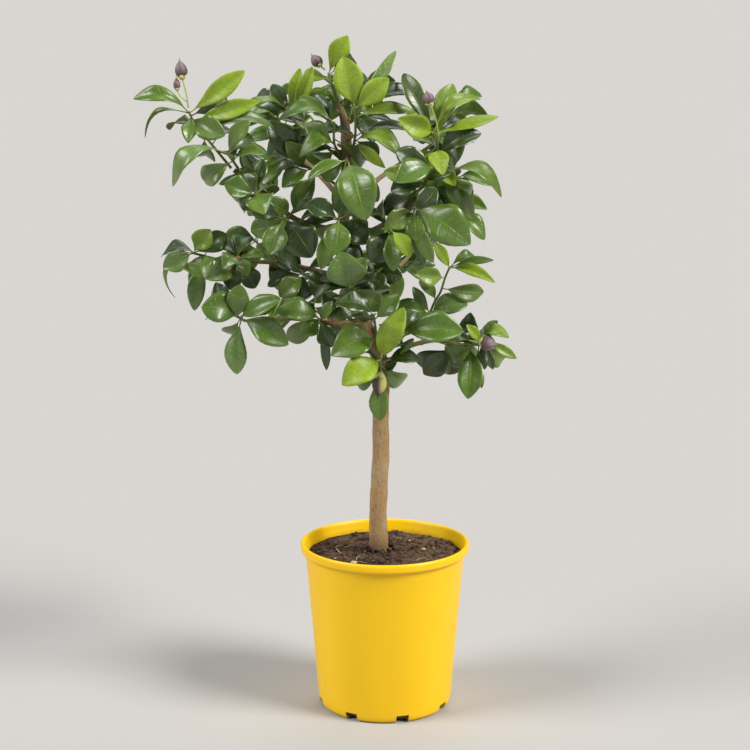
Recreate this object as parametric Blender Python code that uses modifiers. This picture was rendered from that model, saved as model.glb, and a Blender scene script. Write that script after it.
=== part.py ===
"""A young lemon tree in a round nursery pot: pot, soil, trunk, branches, leafy sprigs and flower buds.

The origin is the centre of the pot's underside, +Z is up and -Y is the side that the tree shows best.
"""

import math

import bmesh
import bpy
from mathutils import Matrix, Vector
from mathutils.bvhtree import BVHTree

MM = 0.001

# The pot, in millimetres
POT_HEIGHT = 198.0
RIM_RADIUS = 100.0
LIP_RADIUS = 94.5
RIM_BAND = 10.0
WALL_TOP_RADIUS = 94.4
WALL_FOOT_RADIUS = 78.9
FOOT_CONTACT_RADIUS = 74.0
WALL = 2.2
FLOOR = 2.5
POT_STEPS = 40

# The drain notches round the foot
NOTCHES = 8
NOTCH_WIDTH = 15.0
NOTCH_HEIGHT = 9.5
NOTCH_DEPTH = 12.0
FIRST_NOTCH = math.radians(-90.0 + 15.4)

# The soil and the hole in it that the trunk's foot fills
SOIL_LEVEL = 183.0
SOIL_HEAP = 4.0
CLEARANCE = 0.4
TRUNK_FOOT_X = -6.0
TRUNK_FOOT_RADIUS = 12.3
TRUNK_FOOT_DEPTH = 50.0

# Leaves
LEAF_RINGS = 5
PETIOLE_SHARE = 0.12
PETIOLE_WIDTH = 1.7
BLADE_SKEW = 1.3
BLADE_FULLNESS = 0.74
LEAF_THICKNESS = 1.2
FOLD = math.radians(20.0)
CLEAR_THICKNESS = 3.0
DEPTH_STEP = 7.0
DEPTH_TRIES = 7
OWN_SHARE = 0.3
TWIG_OVERRUN = 1.5
TWIG_RADIUS = 1.4
TWIG_SIDES = 4
TRUNK_SIDES = 12
BRANCH_SIDES = 8

# Leaves in the shade behind each front sprig, set in a spiral round the far side of its twig
SHADE_LEAVES = 5
SHADE_STEP = 0.18
SHADE_LENGTH = 45.0
SHADE_WIDTH = 24.0
SHADE_RISE = (0.5, -0.1, -0.6, 0.2, -0.35)
UNSHADED = ("sprig_top_right", "sprig_right_mid", "sprig_centre_front")

# The crown is laid out as it lines up on the trunk's plane from this eye, in front of the tree.
EYE_DISTANCE = 1834.0
EYE_HEIGHT = 740.0

# A branch is a list of (across, depth, up, radius).
TRUNK = [
    (TRUNK_FOOT_X, 0, SOIL_LEVEL - TRUNK_FOOT_DEPTH, 9.0), (-6, 0, 172, TRUNK_FOOT_RADIUS),
    (-6, 0, 184, TRUNK_FOOT_RADIUS), (-7, 0, 196, 11.4), (-8, 1, 236, 10.3), (-5, 1, 300, 9.8),
    (-5, 0, 370, 9.5), (-3, -1, 400, 9.4), (-10, -1, 428, 9.2), (-20, 0, 450, 8.8),
    (-39, 0, 500, 7.5), (-50, 0, 545, 7.0), (-46, 0, 600, 6.5), (-44, 0, 655, 6.0),
    (-46, 0, 690, 5.2), (-54, -1, 712, 2.4),
]
BRANCHES = {
    "branch_left_top": [
        (-57, -2, 567, 3.5), (-78, -14, 572, 3.4), (-103, -26, 580, 3.2), (-126, -35, 598, 3.0),
        (-150, -42, 620, 2.7), (-172, -46, 636, 2.4),
    ],
    "branch_left": [
        (-51, 2, 512, 3.3), (-66, 6, 517, 3.2), (-95, 12, 524, 3.0), (-130, 14, 530, 2.7),
        (-165, 10, 531, 2.3), (-195, 6, 534, 2.0),
    ],
    "branch_left_low": [
        (-36, -2, 462, 3.2), (-54, -8, 459, 3.0), (-76, -16, 461, 2.8), (-110, -22, 465, 2.5),
        (-145, -28, 462, 2.2), (-160, -30, 462, 2.0),
    ],
    "branch_right_top": [
        (-39, -1, 561, 3.4), (-15, -8, 567, 3.3), (15, -16, 585, 3.0), (38, -22, 606, 2.7),
        (56, -26, 632, 2.3),
    ],
    "branch_right": [(2, 3, 440, 3.0), (22, 6, 450, 2.7), (46, 2, 464, 2.2)],
    "branch_right_low": [
        (9, 0, 410, 2.8), (18, -6, 424, 2.6), (32, -10, 434, 2.4), (62, -10, 440, 2.2),
        (92, -12, 433, 2.0),
    ],
    "branch_back_left": [
        (-54, 9, 606, 3.3), (-70, 45, 625, 3.0), (-95, 85, 650, 2.6), (-110, 108, 672, 2.2),
    ],
    "branch_back_right_top": [
        (-36, 9, 598, 3.2), (-5, 48, 628, 2.9), (35, 82, 652, 2.5), (58, 98, 668, 2.2),
    ],
    "branch_back_right": [
        (-23, 10, 486, 3.2), (-5, 45, 505, 2.9), (25, 80, 535, 2.6), (45, 104, 563, 2.2),
    ],
    "branch_back_low": [
        (-14, 11, 432, 3.0), (-35, 45, 447, 2.7), (-68, 80, 468, 2.3),
    ],
}

# A sprig is how far it grows on in depth by its end, the route of its twig as (across, depth, up)
# and its leaves as (share along the twig, tip across, tip depth, tip up, width, turn, bow).
# A turn of 0 faces the leaf up, 90 to the front and 180 down. The bow is the arch's rise as a
# share of the length.
SPRIGS = {
    "sprig_left_tip": (
        0, [(-178, -48, 641), (-187, -49, 652), (-200, -50, 668), (-215, -52, 686), (-222, -54, 700)],
        [(1.0, -285, -62, 716, 20, 50, 0.30), (0.9, -182, -86, 674, 26, 80, 0.12),
         (1.0, -158, -62, 747, 22, 75, 0.10), (0.85, -142, -70, 713, 20, 70, 0.12),
         (0.95, -224, -82, 666, 17, 80, 0.12), (1.0, -273, -44, 672, 14, 20, 0.30),
         (0.5, -127, -54, 685, 20, 40, 0.35)]),
    "sprig_left_upper": (
        -12, [(-166, -52, 635), (-172, -62, 644), (-180, -70, 655)],
        [(1.0, -243, -84, 617, 26, 40, 0.42), (0.9, -155, -76, 692, 18, 65, 0.10),
         (0.6, -137, -78, 654, 18, 45, 0.20)]),
    "sprig_left_under": (
        -14, [(-146, -49, 612), (-148, -59, 608)],
        [(1.0, -138, -93, 585, 32, 60, 0.15), (1.0, -184, -67, 620, 26, 70, 0.12),
         (0.7, -163, -69, 590, 22, 75, 0.10), (0.4, -140, -41, 648, 20, 80, 0.10),
         (0.3, -162, -35, 658, 18, 80, 0.10)]),
    "sprig_inner_left_top": (
        -6, [(-53, 9, 650), (-75, 14, 668), (-98, 14, 685), (-108, 12, 702)],
        [(1.0, -96, 2, 750, 16, 80, 0.10), (0.95, -82, 0, 752, 18, 75, 0.10),
         (1.0, -128, 14, 732, 20, 95, 0.08), (0.95, -165, -4, 702, 16, 25, 0.28),
         (0.7, -160, -10, 668, 20, 60, 0.20)]),
    "sprig_top": (
        -4, [(-55, -1, 716), (-60, -2, 730), (-64, -2, 743)],
        [(1.0, -42, -8, 786, 23, 80, 0.12), (0.8, -92, 12, 744, 15, 80, 0.15),
         (0.4, -30, 16, 748, 20, 95, 0.10),
         (0.2, -87, 8, 722, 13, 80, 0.10)]),
    "sprig_top_left": (
        -26, [(-52, -8, 655), (-58, -14, 666), (-58, -12, 688)],
        [(1.0, -122, -24, 691, 22, 30, 0.32), (0.1, -98, -36, 650, 26, 40, 0.42),
         (1.0, -97, -8, 719, 16, 60, 0.12), (0.9, -82, 6, 721, 18, 80, 0.10),
         (0.4, -91, -8, 688, 22, 80, 0.12), (0.2, -102, 0, 668, 18, 90, 0.08)]),
    "sprig_top_right": (
        -26, [(-36, -9, 664), (-34, -15, 676), (-34, -14, 690), (-34, -13, 705)],
        [(1.0, -48, -18, 763, 33, 85, 0.08), (1.0, 4, -26, 739, 26, 75, 0.12),
         (0.1, 20, -40, 650, 25, 45, 0.30), (1.0, 12, -4, 769, 14, 70, 0.12),
         (0.6, -20, -32, 738, 13, 60, 0.10), (0.95, 38, 4, 722, 18, 55, 0.20),
         (0.5, 9, -26, 690, 13, 25, 0.25), (0.3, 28, -14, 680, 16, 35, 0.18),
         (0.1, 0, -34, 638, 13, 80, 0.10), (0.2, -8, -6, 648, 22, 75, 0.10),
         (0.8, 34, -10, 701, 16, 60, 0.20)]),
    "sprig_left_inner": (
        -8, [(-55, 6, 618), (-72, 8, 630), (-92, 8, 641)],
        [(1.0, -133, 2, 691, 30, 80, 0.12), (0.8, -118, -12, 616, 22, 60, 0.15),
         (1.0, -113, -8, 668, 20, 80, 0.10), (0.9, -135, -14, 638, 12, 20, 0.25),
         (0.6, -104, -2, 590, 25, 75, 0.15)]),
    "sprig_centre_front": (
        -58, [(-45, -10, 650), (-43, -22, 646)],
        [(1.0, -22, -62, 578, 41, 75, 0.22), (0.8, -88, -28, 626, 14, 60, 0.12),
         (0.7, -8, -24, 600, 26, 75, 0.15), (0.2, -70, -8, 624, 22, 60, 0.15),
         (0.4, -56, -16, 588, 17, 80, 0.10)]),
    "sprig_left_hanging": (
        -22, [(-112, -32, 582), (-117, -42, 580)],
        [(1.0, -133, -64, 539, 27, 80, 0.12), (0.7, -84, -60, 536, 38, 80, 0.14),
         (0.3, -108, -30, 540, 24, 80, 0.12)]),
    "sprig_centre_left": (
        -62, [(-52, -11, 579), (-53, -22, 580)],
        [(1.0, -60, -44, 538, 29, 80, 0.15), (0.6, -92, -24, 598, 24, 60, 0.18),
         (0.4, -20, -20, 552, 26, 75, 0.12), (0.8, -74, -34, 522, 20, 80, 0.12),
         (0.2, -92, -12, 577, 14, 50, 0.12)]),
    "sprig_centre_low": (
        -66, [(-40, -11, 499), (-41, -21, 501)],
        [(1.0, -51, -42, 543, 42, 75, 0.18), (0.8, -24, -16, 536, 22, 80, 0.10),
         (0.4, -72, -14, 496, 16, 40, 0.20), (0.5, -35, -12, 557, 22, 85, 0.10)]),
    "sprig_front_low": (
        -44, [(-9, -13, 436), (-10, -22, 446), (-13, -27, 468)],
        [(0.2, -63, -52, 421, 40, 60, 0.25), (1.0, -58, -36, 483, 33, 45, 0.22),
         (0.9, 16, -26, 493, 22, 70, 0.15)]),
    "sprig_left_mid_tip": (
        -14, [(-199, 4, 535), (-210, -1, 538), (-222, -7, 541)],
        [(0.5, -209, -32, 510, 34, 85, 0.12), (0.95, -200, -14, 568, 24, 80, 0.12),
         (1.0, -256, -20, 523, 24, 70, 0.12), (1.0, -243, -3, 489, 12, 15, 0.38),
         (0.3, -221, -16, 474, 20, 75, 0.10), (0.6, -226, 0, 504, 10, 60, 0.10)]),
    "sprig_left_mid": (
        -26, [(-166, 4, 532), (-170, -8, 535)],
        [(1.0, -187, -26, 522, 22, 45, 0.35), (0.8, -159, -22, 514, 16, 45, 0.25),
         (0.6, -137, -14, 537, 14, 40, 0.20), (0.7, -180, -6, 498, 22, 60, 0.12),
         (0.5, -150, -2, 500, 24, 60, 0.12)]),
    "sprig_left_mid_inner": (
        -12, [(-95, 6, 520), (-93, -4, 516)],
        [(1.0, -122, -12, 490, 24, 65, 0.15), (0.8, -136, 2, 503, 18, 60, 0.15),
         (0.8, -68, -14, 506, 18, 60, 0.15), (0.4, -98, 10, 486, 24, 80, 0.12)]),
    "sprig_left_low_tip": (
        -12, [(-164, -32, 463), (-170, -37, 466)],
        [(1.0, -213, -56, 478, 36, 60, 0.18), (0.6, -112, -58, 434, 30, 80, 0.12),
         (0.9, -120, -66, 488, 24, 60, 0.14), (0.7, -196, -28, 507, 24, 95, 0.10),
         (0.4, -173, -50, 399, 25, 85, 0.08), (1.0, -168, -48, 505, 25, 60, 0.18)]),
    "sprig_left_low_inner": (
        -18, [(-77, -22, 462), (-75, -32, 464)],
        [(1.0, -125, -48, 474, 30, 55, 0.22), (0.8, -98, -44, 446, 24, 70, 0.15),
         (0.8, -61, -40, 486, 12, 70, 0.10), (0.4, -68, -30, 404, 11, 80, 0.14),
         (0.5, -62, -28, 431, 22, 80, 0.12)]),
    "sprig_new_growth": (
        -22, [(-2, -13, 400), (-4, -18, 408), (-5, -23, 418)],
        [(1.0, 22, -46, 478, 28, 80, 0.20), (0.95, -50, -48, 386, 34, 62, 0.24),
         (0.9, 10, -20, 448, 17, 80, 0.10), (0.3, 13, -28, 411, 12, 60, 0.10),
         (0.1, -6, -16, 344, 22, 88, 0.03)]),
    "sprig_right_mid": (
        -8, [(49, 0, 466), (52, -1, 472), (58, -4, 486), (64, -8, 496), (69, -12, 512), (74, -16, 524)],
        [(0.8, 35, -36, 517, 21, 85, 0.10), (1.0, 127, -44, 507, 14, 65, 0.16),
         (0.1, 96, -14, 482, 26, 65, 0.15), (0.05, 3, -20, 470, 28, 60, 0.20),
         (1.0, 104, -4, 537, 16, 45, 0.28), (1.0, 125, -20, 533, 9, 70, 0.10),
         (1.0, 56, -34, 554, 13, 70, 0.12), (0.6, 114, 8, 496, 22, 100, 0.12),
         (0.05, 32, -12, 502, 13, 70, 0.10), (0.35, 39, -24, 509, 14, 60, 0.10),
         (0.0, 18, -26, 461, 11, 40, 0.12)]),
    "sprig_right_low_leaf": (
        -26, [(19, -13, 434), (19, -21, 441), (20, -27, 447)],
        [(1.0, 91, -50, 450, 37, 60, 0.14), (0.5, 44, -6, 468, 14, 60, 0.12)]),
    "sprig_right_low_tip": (
        -6, [(96, -12, 434), (103, -14, 434), (110, -15, 436), (116, -16, 441)],
        [(0.1, 97, -38, 370, 30, 85, 0.08), (0.9, 144, -30, 443, 20, 35, 0.42),
         (1.0, 153, -18, 418, 12, 70, 0.14), (0.8, 94, -28, 458, 12, 60, 0.12),
         (0.7, 116, -18, 405, 11, 80, 0.10), (0.95, 126, -16, 405, 11, 80, 0.10),
         (0.6, 113, -6, 383, 11, 80, 0.10), (0.85, 130, -22, 463, 13, 45, 0.12)]),
    "sprig_right_low_back": (
        0, [(63, -4, 438), (74, 8, 434), (80, 18, 432)],
        [(1.0, 45, 20, 399, 30, 100, 0.12), (0.9, 36, 40, 414, 26, 95, 0.12),
         (0.9, 73, 32, 399, 22, 90, 0.12), (0.6, 106, 28, 452, 24, 80, 0.12),
         (0.6, 90, 22, 408, 22, 90, 0.12)]),
    "sprig_right_top": (
        -12, [(58, -27, 638), (60, -31, 652), (58, -33, 668), (54, -33, 680)],
        [(1.0, 20, -22, 744, 21, 85, 0.14), (0.95, 14, -60, 694, 26, 85, 0.20),
         (0.5, 66, -70, 630, 22, 80, 0.15), (0.3, 109, -38, 677, 28, 55, 0.24),
         (0.8, 76, -22, 733, 25, 70, 0.12), (0.9, 128, -22, 696, 15, 60, 0.14),
         (0.5, 31, -46, 670, 15, 30, 0.18), (0.4, 36, -50, 642, 22, 120, 0.12),
         (0.95, 108, -20, 715, 16, 40, 0.35)]),
    "sprig_right_top_side": (
        -18, [(60, -31, 629), (68, -35, 631)],
        [(1.0, 133, -45, 605, 27, 30, 0.36), (0.7, 80, -59, 618, 17, 70, 0.15),
         (0.4, 100, -29, 580, 18, 60, 0.25), (0.5, 84, -49, 592, 14, 70, 0.12)]),
    "sprig_right_mid_top": (
        -34, [(38, -26, 610), (46, -35, 623), (55, -41, 638)],
        [(1.0, 12, -70, 622, 29, 60, 0.15), (0.3, 55, -66, 592, 22, 70, 0.15),
         (0.4, 6, -34, 612, 26, 70, 0.14), (0.8, 22, -26, 654, 24, 80, 0.12),
         (0.2, -3, -20, 586, 26, 75, 0.12), (0.5, -2, -22, 634, 20, 70, 0.12)]),
    "sprig_right_mid_low": (
        -36, [(28, -22, 592), (33, -31, 592)],
        [(1.0, 98, -61, 551, 44, 70, 0.22), (0.7, 36, -49, 554, 23, 85, 0.15),
         (0.4, 22, -35, 556, 20, 85, 0.12), (0.8, 45, -27, 529, 15, 85, 0.10),
         (0.9, 55, -34, 530, 17, 85, 0.10)]),
    "sprig_centre_right": (
        -52, [(2, -13, 571), (6, -22, 567)],
        [(1.0, 29, -41, 536, 17, 60, 0.15), (0.8, 10, -43, 520, 20, 80, 0.15),
         (0.6, -16, -35, 530, 34, 80, 0.15), (0.4, 20, -13, 540, 24, 80, 0.12)]),
    "sprig_centre_back": (
        0, [(-12, 26, 503), (-10, 12, 520)],
        [(1.0, -12, -12, 497, 28, 80, 0.15), (0.9, 20, 2, 514, 24, 80, 0.12),
         (0.6, -40, 6, 482, 24, 80, 0.12), (0.9, 8, 4, 556, 26, 80, 0.12)]),
}

# The side away from the front: the route of each twig, its number of leaves and their length.
BACK_SPRIGS = {
    "sprig_back_left_top": ([(-112, 112, 676), (-120, 122, 690), (-126, 130, 706)], 11, 52),
    "sprig_back_left": ([(-92, 92, 644), (-118, 104, 640), (-142, 110, 636)], 11, 54),
    "sprig_back_top": ([(-43, 9, 684), (-38, 34, 704), (-34, 54, 722)], 11, 50),
    "sprig_back_right_top": ([(61, 101, 671), (68, 108, 686), (72, 112, 700)], 11, 50),
    "sprig_back_right_out": ([(36, 92, 648), (62, 108, 636), (84, 114, 628)], 11, 52),
    "sprig_back_right": ([(47, 108, 567), (60, 118, 574), (76, 124, 584)], 11, 54),
    "sprig_back_centre": ([(20, 86, 532), (4, 106, 524), (-8, 120, 520)], 12, 54),
    "sprig_back_low": ([(-72, 84, 470), (-90, 98, 478), (-106, 106, 488)], 12, 52),
    "sprig_back_left_low": ([(-131, 20, 534), (-140, 50, 545), (-150, 76, 556)], 12, 52),
}
BACK_RISE = (0.5, -0.15, -1.1)
BACK_WIDTH = 27.0
BACK_TURN = 40.0
SPIRAL_STEP = math.radians(137.5)
SPIRAL_BOW = 0.2

# A bud is the route of its stalk, its tip and its width.
BUDS = {
    "bud_left_tip": ([(-223, -54, 706), (-225, -55, 722), (-229, -55, 738)], (-232, -55, 761), 14),
    "bud_left_upper": (
        [(-190, -56, 672), (-187, -59, 695), (-181, -60, 720), (-176, -60, 730)],
        (-166, -60, 746), 12),
    "bud_top": ([(-68, -3, 748), (-73, -5, 752)], (-84, -6, 766), 13),
    "bud_right_top": (
        [(61, -46, 668), (58, -58, 689), (53, -63, 704), (50, -65, 709)], (46, -67, 726), 14),
    "bud_left_mid": ([(-225, -20, 542), (-229, -22, 541)], (-244, -23, 544), 9),
    "bud_low_left": ([(-72, -36, 463), (-68, -38, 464)], (-59, -38, 467), 8),
    "bud_new_growth": ([(-8, -44, 413), (-13, -56, 409)], (-26, -64, 401), 9),
    "bud_hanging": ([(-4, -33, 404), (-5, -34, 400)], (-9, -35, 369), 17),
    "bud_right_low": ([(88, -22, 442), (100, -32, 439), (110, -36, 438)], (132, -42, 434), 18),
}
STALK_RADIUS = 0.9
STALK_SIDES = 6
STALK_OVERRUN_SHARE = 0.12
BUD_SIDES = 8
BUD_RINGS = 6
BUD_TAPER = 0.25
CALYX_SHARE = 0.28
CALYX_LIFT = 0.36
CALYX_FOOT_SHARE = 0.2
CALYX_MOUTH_SHARE = 0.47


def seen(across, depth, up):
    """A place in metres: it slides along the line of sight from the trunk's plane to its depth."""
    share = (EYE_DISTANCE + depth) / EYE_DISTANCE
    return Vector((across * share, depth, EYE_HEIGHT + (up - EYE_HEIGHT) * share)) * MM


def clear_scene():
    for obj in list(bpy.data.objects):
        bpy.data.objects.remove(obj, do_unlink=True)


def new_collection(name):
    collection = bpy.data.collections.new(name)
    bpy.context.scene.collection.children.link(collection)
    return collection


def new_material(name, color, roughness):
    material = bpy.data.materials.new(name)
    material.use_nodes = True
    shader = material.node_tree.nodes["Principled BSDF"]
    shader.inputs["Base Color"].default_value = (*color, 1.0)
    shader.inputs["Roughness"].default_value = roughness
    shader.inputs["Metallic"].default_value = 0.0
    return material


def new_object(name, data, collection, material):
    obj = bpy.data.objects.new(name, data)
    data.materials.append(material)
    collection.objects.link(obj)
    return obj


def as_helper(obj):
    obj.hide_render = True
    obj.display_type = "WIRE"


def turned(name, profile, steps, collection, material):
    """A solid turned about Z from a profile of (radius, height) in millimetres."""
    mesh = bpy.data.meshes.new(name)
    points = [(radius * MM, 0.0, height * MM) for radius, height in profile]
    mesh.from_pydata(points, [(i, i + 1) for i in range(len(points) - 1)], [])
    obj = new_object(name, mesh, collection, material)
    screw = obj.modifiers.new("turn", "SCREW")
    screw.steps = screw.render_steps = steps
    screw.use_merge_vertices = True
    screw.merge_threshold = 0.00001
    screw.use_smooth_shade = True
    return obj


def tube(name, points, radii, sides, collection, material):
    """A closed tube through the points, whose radius changes from point to point."""
    curve = bpy.data.curves.new(name, "CURVE")
    curve.dimensions = "3D"
    curve.bevel_depth = 1.0
    curve.bevel_resolution = (sides - 4) // 2
    curve.use_fill_caps = True
    spline = curve.splines.new("POLY")
    spline.points.add(len(points) - 1)
    for point, place, radius in zip(spline.points, points, radii):
        point.co = (*place, 1.0)
        point.radius = radius
    return new_object(name, curve, collection, material)


def made_mesh(obj, weld):
    """Replaces the object with a plain mesh object of its evaluated shape, with its caps welded."""
    name, collection, place = obj.name, obj.users_collection[0], obj.matrix_world.copy()
    graph = bpy.context.evaluated_depsgraph_get()
    mesh = bpy.data.meshes.new_from_object(obj.evaluated_get(graph))
    bpy.data.objects.remove(obj, do_unlink=True)
    bm = bmesh.new()
    bm.from_mesh(mesh)
    bmesh.ops.remove_doubles(bm, verts=bm.verts, dist=weld)
    bm.to_mesh(mesh)
    bm.free()
    new = bpy.data.objects.new(name, mesh)
    new.matrix_world = place
    collection.objects.link(new)
    return new


def mesh_tube(name, points, radii, sides, collection, material):
    curve = tube(name, points, radii, sides, collection, material)
    bpy.context.view_layer.update()
    return made_mesh(curve, 0.000001)


def grown_together(obj, others):
    """The union of an object with the others, which are removed."""
    helpers = bpy.data.collections.new(obj.name + "_grown")
    bpy.context.scene.collection.children.link(helpers)
    for other in others:
        helpers.objects.link(other)
        as_helper(other)
    union = obj.modifiers.new("grown", "BOOLEAN")
    union.operation = "UNION"
    union.solver = "EXACT"
    union.operand_type = "COLLECTION"
    union.collection = helpers
    bpy.context.view_layer.update()
    whole = made_mesh(obj, 0.0000001)
    for other in others:
        bpy.data.objects.remove(other, do_unlink=True)
    bpy.data.collections.remove(helpers)
    return whole


def wall_radius(height):
    """The pot's outer radius at a height, between its rounded foot and its rim."""
    return WALL_FOOT_RADIUS + (WALL_TOP_RADIUS - WALL_FOOT_RADIUS) * height / (POT_HEIGHT - RIM_BAND)


def pot_profile():
    under_rim = POT_HEIGHT - RIM_BAND
    inner = [
        (0, FLOOR), (FOOT_CONTACT_RADIUS - 1.5, FLOOR), (wall_radius(6) - WALL, 6),
        (wall_radius(under_rim) - WALL, under_rim), (LIP_RADIUS, POT_HEIGHT - 4),
        (LIP_RADIUS + 1, POT_HEIGHT - 1),
    ]
    rim = [
        (LIP_RADIUS + 2.6, POT_HEIGHT), (RIM_RADIUS - 1, POT_HEIGHT - 0.7),
        (RIM_RADIUS, POT_HEIGHT - 2.4), (RIM_RADIUS, under_rim + 1.6), (RIM_RADIUS - 0.8, under_rim),
        (WALL_TOP_RADIUS + 1, under_rim - 0.4), (wall_radius(under_rim - 2.5), under_rim - 2.5),
    ]
    foot = [
        (wall_radius(8), 8), (wall_radius(3.5) - 0.9, 3.5), (FOOT_CONTACT_RADIUS + 2.2, 0.8),
        (FOOT_CONTACT_RADIUS, 0), (0, 0),
    ]
    return inner + rim + foot


def build_pot(parts, cutters, material):
    pot = turned("pot", pot_profile(), POT_STEPS, parts, material)
    for i in range(NOTCHES):
        angle = FIRST_NOTCH + i * 2 * math.pi / NOTCHES
        inner_end = FOOT_CONTACT_RADIUS - NOTCH_DEPTH
        outer_end = WALL_TOP_RADIUS
        middle = (inner_end + outer_end) / 2 * MM
        bpy.ops.mesh.primitive_cube_add(
            size=1.0, location=(middle * math.cos(angle), middle * math.sin(angle), 0.0),
            rotation=(0.0, 0.0, angle))
        cutter = bpy.context.active_object
        cutter.name = f"notch_{i + 1}"
        size = Vector((outer_end - inner_end, NOTCH_WIDTH, 2 * NOTCH_HEIGHT)) * MM
        cutter.data.transform(Matrix.Diagonal(size).to_4x4())
        for owner in list(cutter.users_collection):
            owner.objects.unlink(cutter)
        cutters.objects.link(cutter)
        as_helper(cutter)
        cut = pot.modifiers.new(f"notch_{i + 1}", "BOOLEAN")
        cut.operation = "DIFFERENCE"
        cut.solver = "EXACT"
        cut.object = cutter
    return pot


def build_soil(parts, cutters, material):
    edge = wall_radius(SOIL_LEVEL) - WALL - CLEARANCE
    foot = wall_radius(6) - WALL - CLEARANCE
    profile = [
        (0, SOIL_LEVEL + SOIL_HEAP), (20, SOIL_LEVEL + SOIL_HEAP - 0.6), (48, SOIL_LEVEL + 1.2),
        (74, SOIL_LEVEL + 0.4), (edge, SOIL_LEVEL), (foot, 6.5),
        (FOOT_CONTACT_RADIUS - 2.2, FLOOR + CLEARANCE), (0, FLOOR + CLEARANCE),
    ]
    soil = turned("soil", profile, POT_STEPS, parts, material)
    bpy.ops.mesh.primitive_cylinder_add(
        vertices=16, radius=(TRUNK_FOOT_RADIUS + CLEARANCE) * MM / math.cos(math.pi / 16),
        depth=(TRUNK_FOOT_DEPTH + 20) * MM,
        location=(TRUNK_FOOT_X * MM, 0.0, (SOIL_LEVEL + 19.5 - TRUNK_FOOT_DEPTH / 2 - 10) * MM))
    cutter = bpy.context.active_object
    cutter.name = "trunk_hole"
    for owner in list(cutter.users_collection):
        owner.objects.unlink(cutter)
    cutters.objects.link(cutter)
    as_helper(cutter)
    cut = soil.modifiers.new("trunk_hole", "BOOLEAN")
    cut.operation = "DIFFERENCE"
    cut.solver = "EXACT"
    cut.object = cutter
    return soil


def build_wood(name, rows, sides, parts, material):
    points = [seen(across, depth, up) for across, depth, up, _ in rows]
    radii = [radius * MM for *_, radius in rows]
    return mesh_tube(name, points, radii, sides, parts, material)


def half_width(share, width):
    """Half the leaf's width at a share of its length: a thin stalk, then a blade widest past its middle."""
    blade = max(0.0, (share - PETIOLE_SHARE) / (1 - PETIOLE_SHARE))
    outline = max(0.0, math.sin(math.pi * min(1.0, blade ** BLADE_SKEW))) ** BLADE_FULLNESS
    return outline * width / 2 + PETIOLE_WIDTH / 2 * (1 - share)


def leaf_mesh(name, base, tip, width, turn, bow, thickness):
    """A leaf as a sphere of four sides drawn out from base to tip, folded along its midrib and arched."""
    bm = bmesh.new()
    bmesh.ops.create_uvsphere(bm, u_segments=4, v_segments=LEAF_RINGS, radius=1.0)
    along = tip - base
    length = along.length
    along.normalize()
    facing = Vector((0.0, -math.sin(math.radians(turn)), math.cos(math.radians(turn))))
    facing = (facing - along * facing.dot(along)).normalized()
    side = along.cross(facing)
    for vert in bm.verts:
        polar = math.acos(max(-1.0, min(1.0, vert.co.z)))
        share = polar / math.pi
        round_size = max(math.sin(polar), 0.000001)
        across = vert.co.x / round_size if math.sin(polar) > 0.001 else 0.0
        over = vert.co.y / round_size if math.sin(polar) > 0.001 else 0.0
        half = half_width(share, width) * MM
        rise = 4 * bow * length * share * (1 - share)
        rise += abs(across) * half * math.sin(FOLD)
        rise += over * thickness * MM / 2 * min(1.0, 3 * share + 0.4)
        sideways = across * half * math.cos(FOLD)
        vert.co = base + along * (length * share) + side * sideways + facing * rise
    bmesh.ops.recalc_face_normals(bm, faces=bm.faces)
    mesh = bpy.data.meshes.new(name)
    bm.to_mesh(mesh)
    bm.free()
    return mesh


def faces_of(mesh, matrix=None):
    places = [matrix @ vert.co if matrix else vert.co.copy() for vert in mesh.vertices]
    return places, [tuple(face.vertices) for face in mesh.polygons]


def tree_of(shapes):
    places, faces = [], []
    for shape_places, shape_faces in shapes:
        first = len(places)
        places += shape_places
        faces += [tuple(first + i for i in face) for face in shape_faces]
    return BVHTree.FromPolygons(places, faces)


def outer_part(shape, base, reach):
    """The faces of a leaf that lie further than reach from its base."""
    places, faces = shape
    kept = [face for face in faces if all((places[i] - base).length > reach for i in face)]
    return places, kept


def along_route(points, share):
    """A place at a share of the route's length, kept a little inside both its ends."""
    lengths = [(b - a).length for a, b in zip(points, points[1:])]
    left = min(max(share, 0.1), 1.0) * sum(lengths)
    for start, end, length in zip(points, points[1:], lengths):
        if left <= length:
            return start.lerp(end, left / length)
        left -= length
    return points[-1].copy()


def depth_tries():
    """Steps in depth in the order in which a leaf tries them: none, then ever further each way."""
    yield 0.0
    for i in range(1, DEPTH_TRIES + 1):
        yield -i * DEPTH_STEP
        yield i * DEPTH_STEP


def placed_leaf(name, base, row, standing, own):
    """The first mesh of the leaf that is clear of what stands round it, or None."""
    tip_across, tip_depth, tip_up, width, turn, bow = row
    for strict in (True, False):
        for step in depth_tries():
            tip = seen(tip_across, tip_depth + step, tip_up)
            reach = OWN_SHARE * (tip - base).length
            probe = leaf_mesh("probe", base, tip, width, turn, bow, CLEAR_THICKNESS)
            shape = faces_of(probe)
            bpy.data.meshes.remove(probe)
            if standing.overlap(tree_of([shape])):
                continue
            outer = tree_of([outer_part(shape, base, reach)])
            if strict and any(other.overlap(outer) for other in own):
                continue
            mesh = leaf_mesh(name, base, tip, width, turn, bow, LEAF_THICKNESS)
            own.append(tree_of([outer_part(faces_of(mesh), base, reach)]))
            return mesh
    return None


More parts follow.
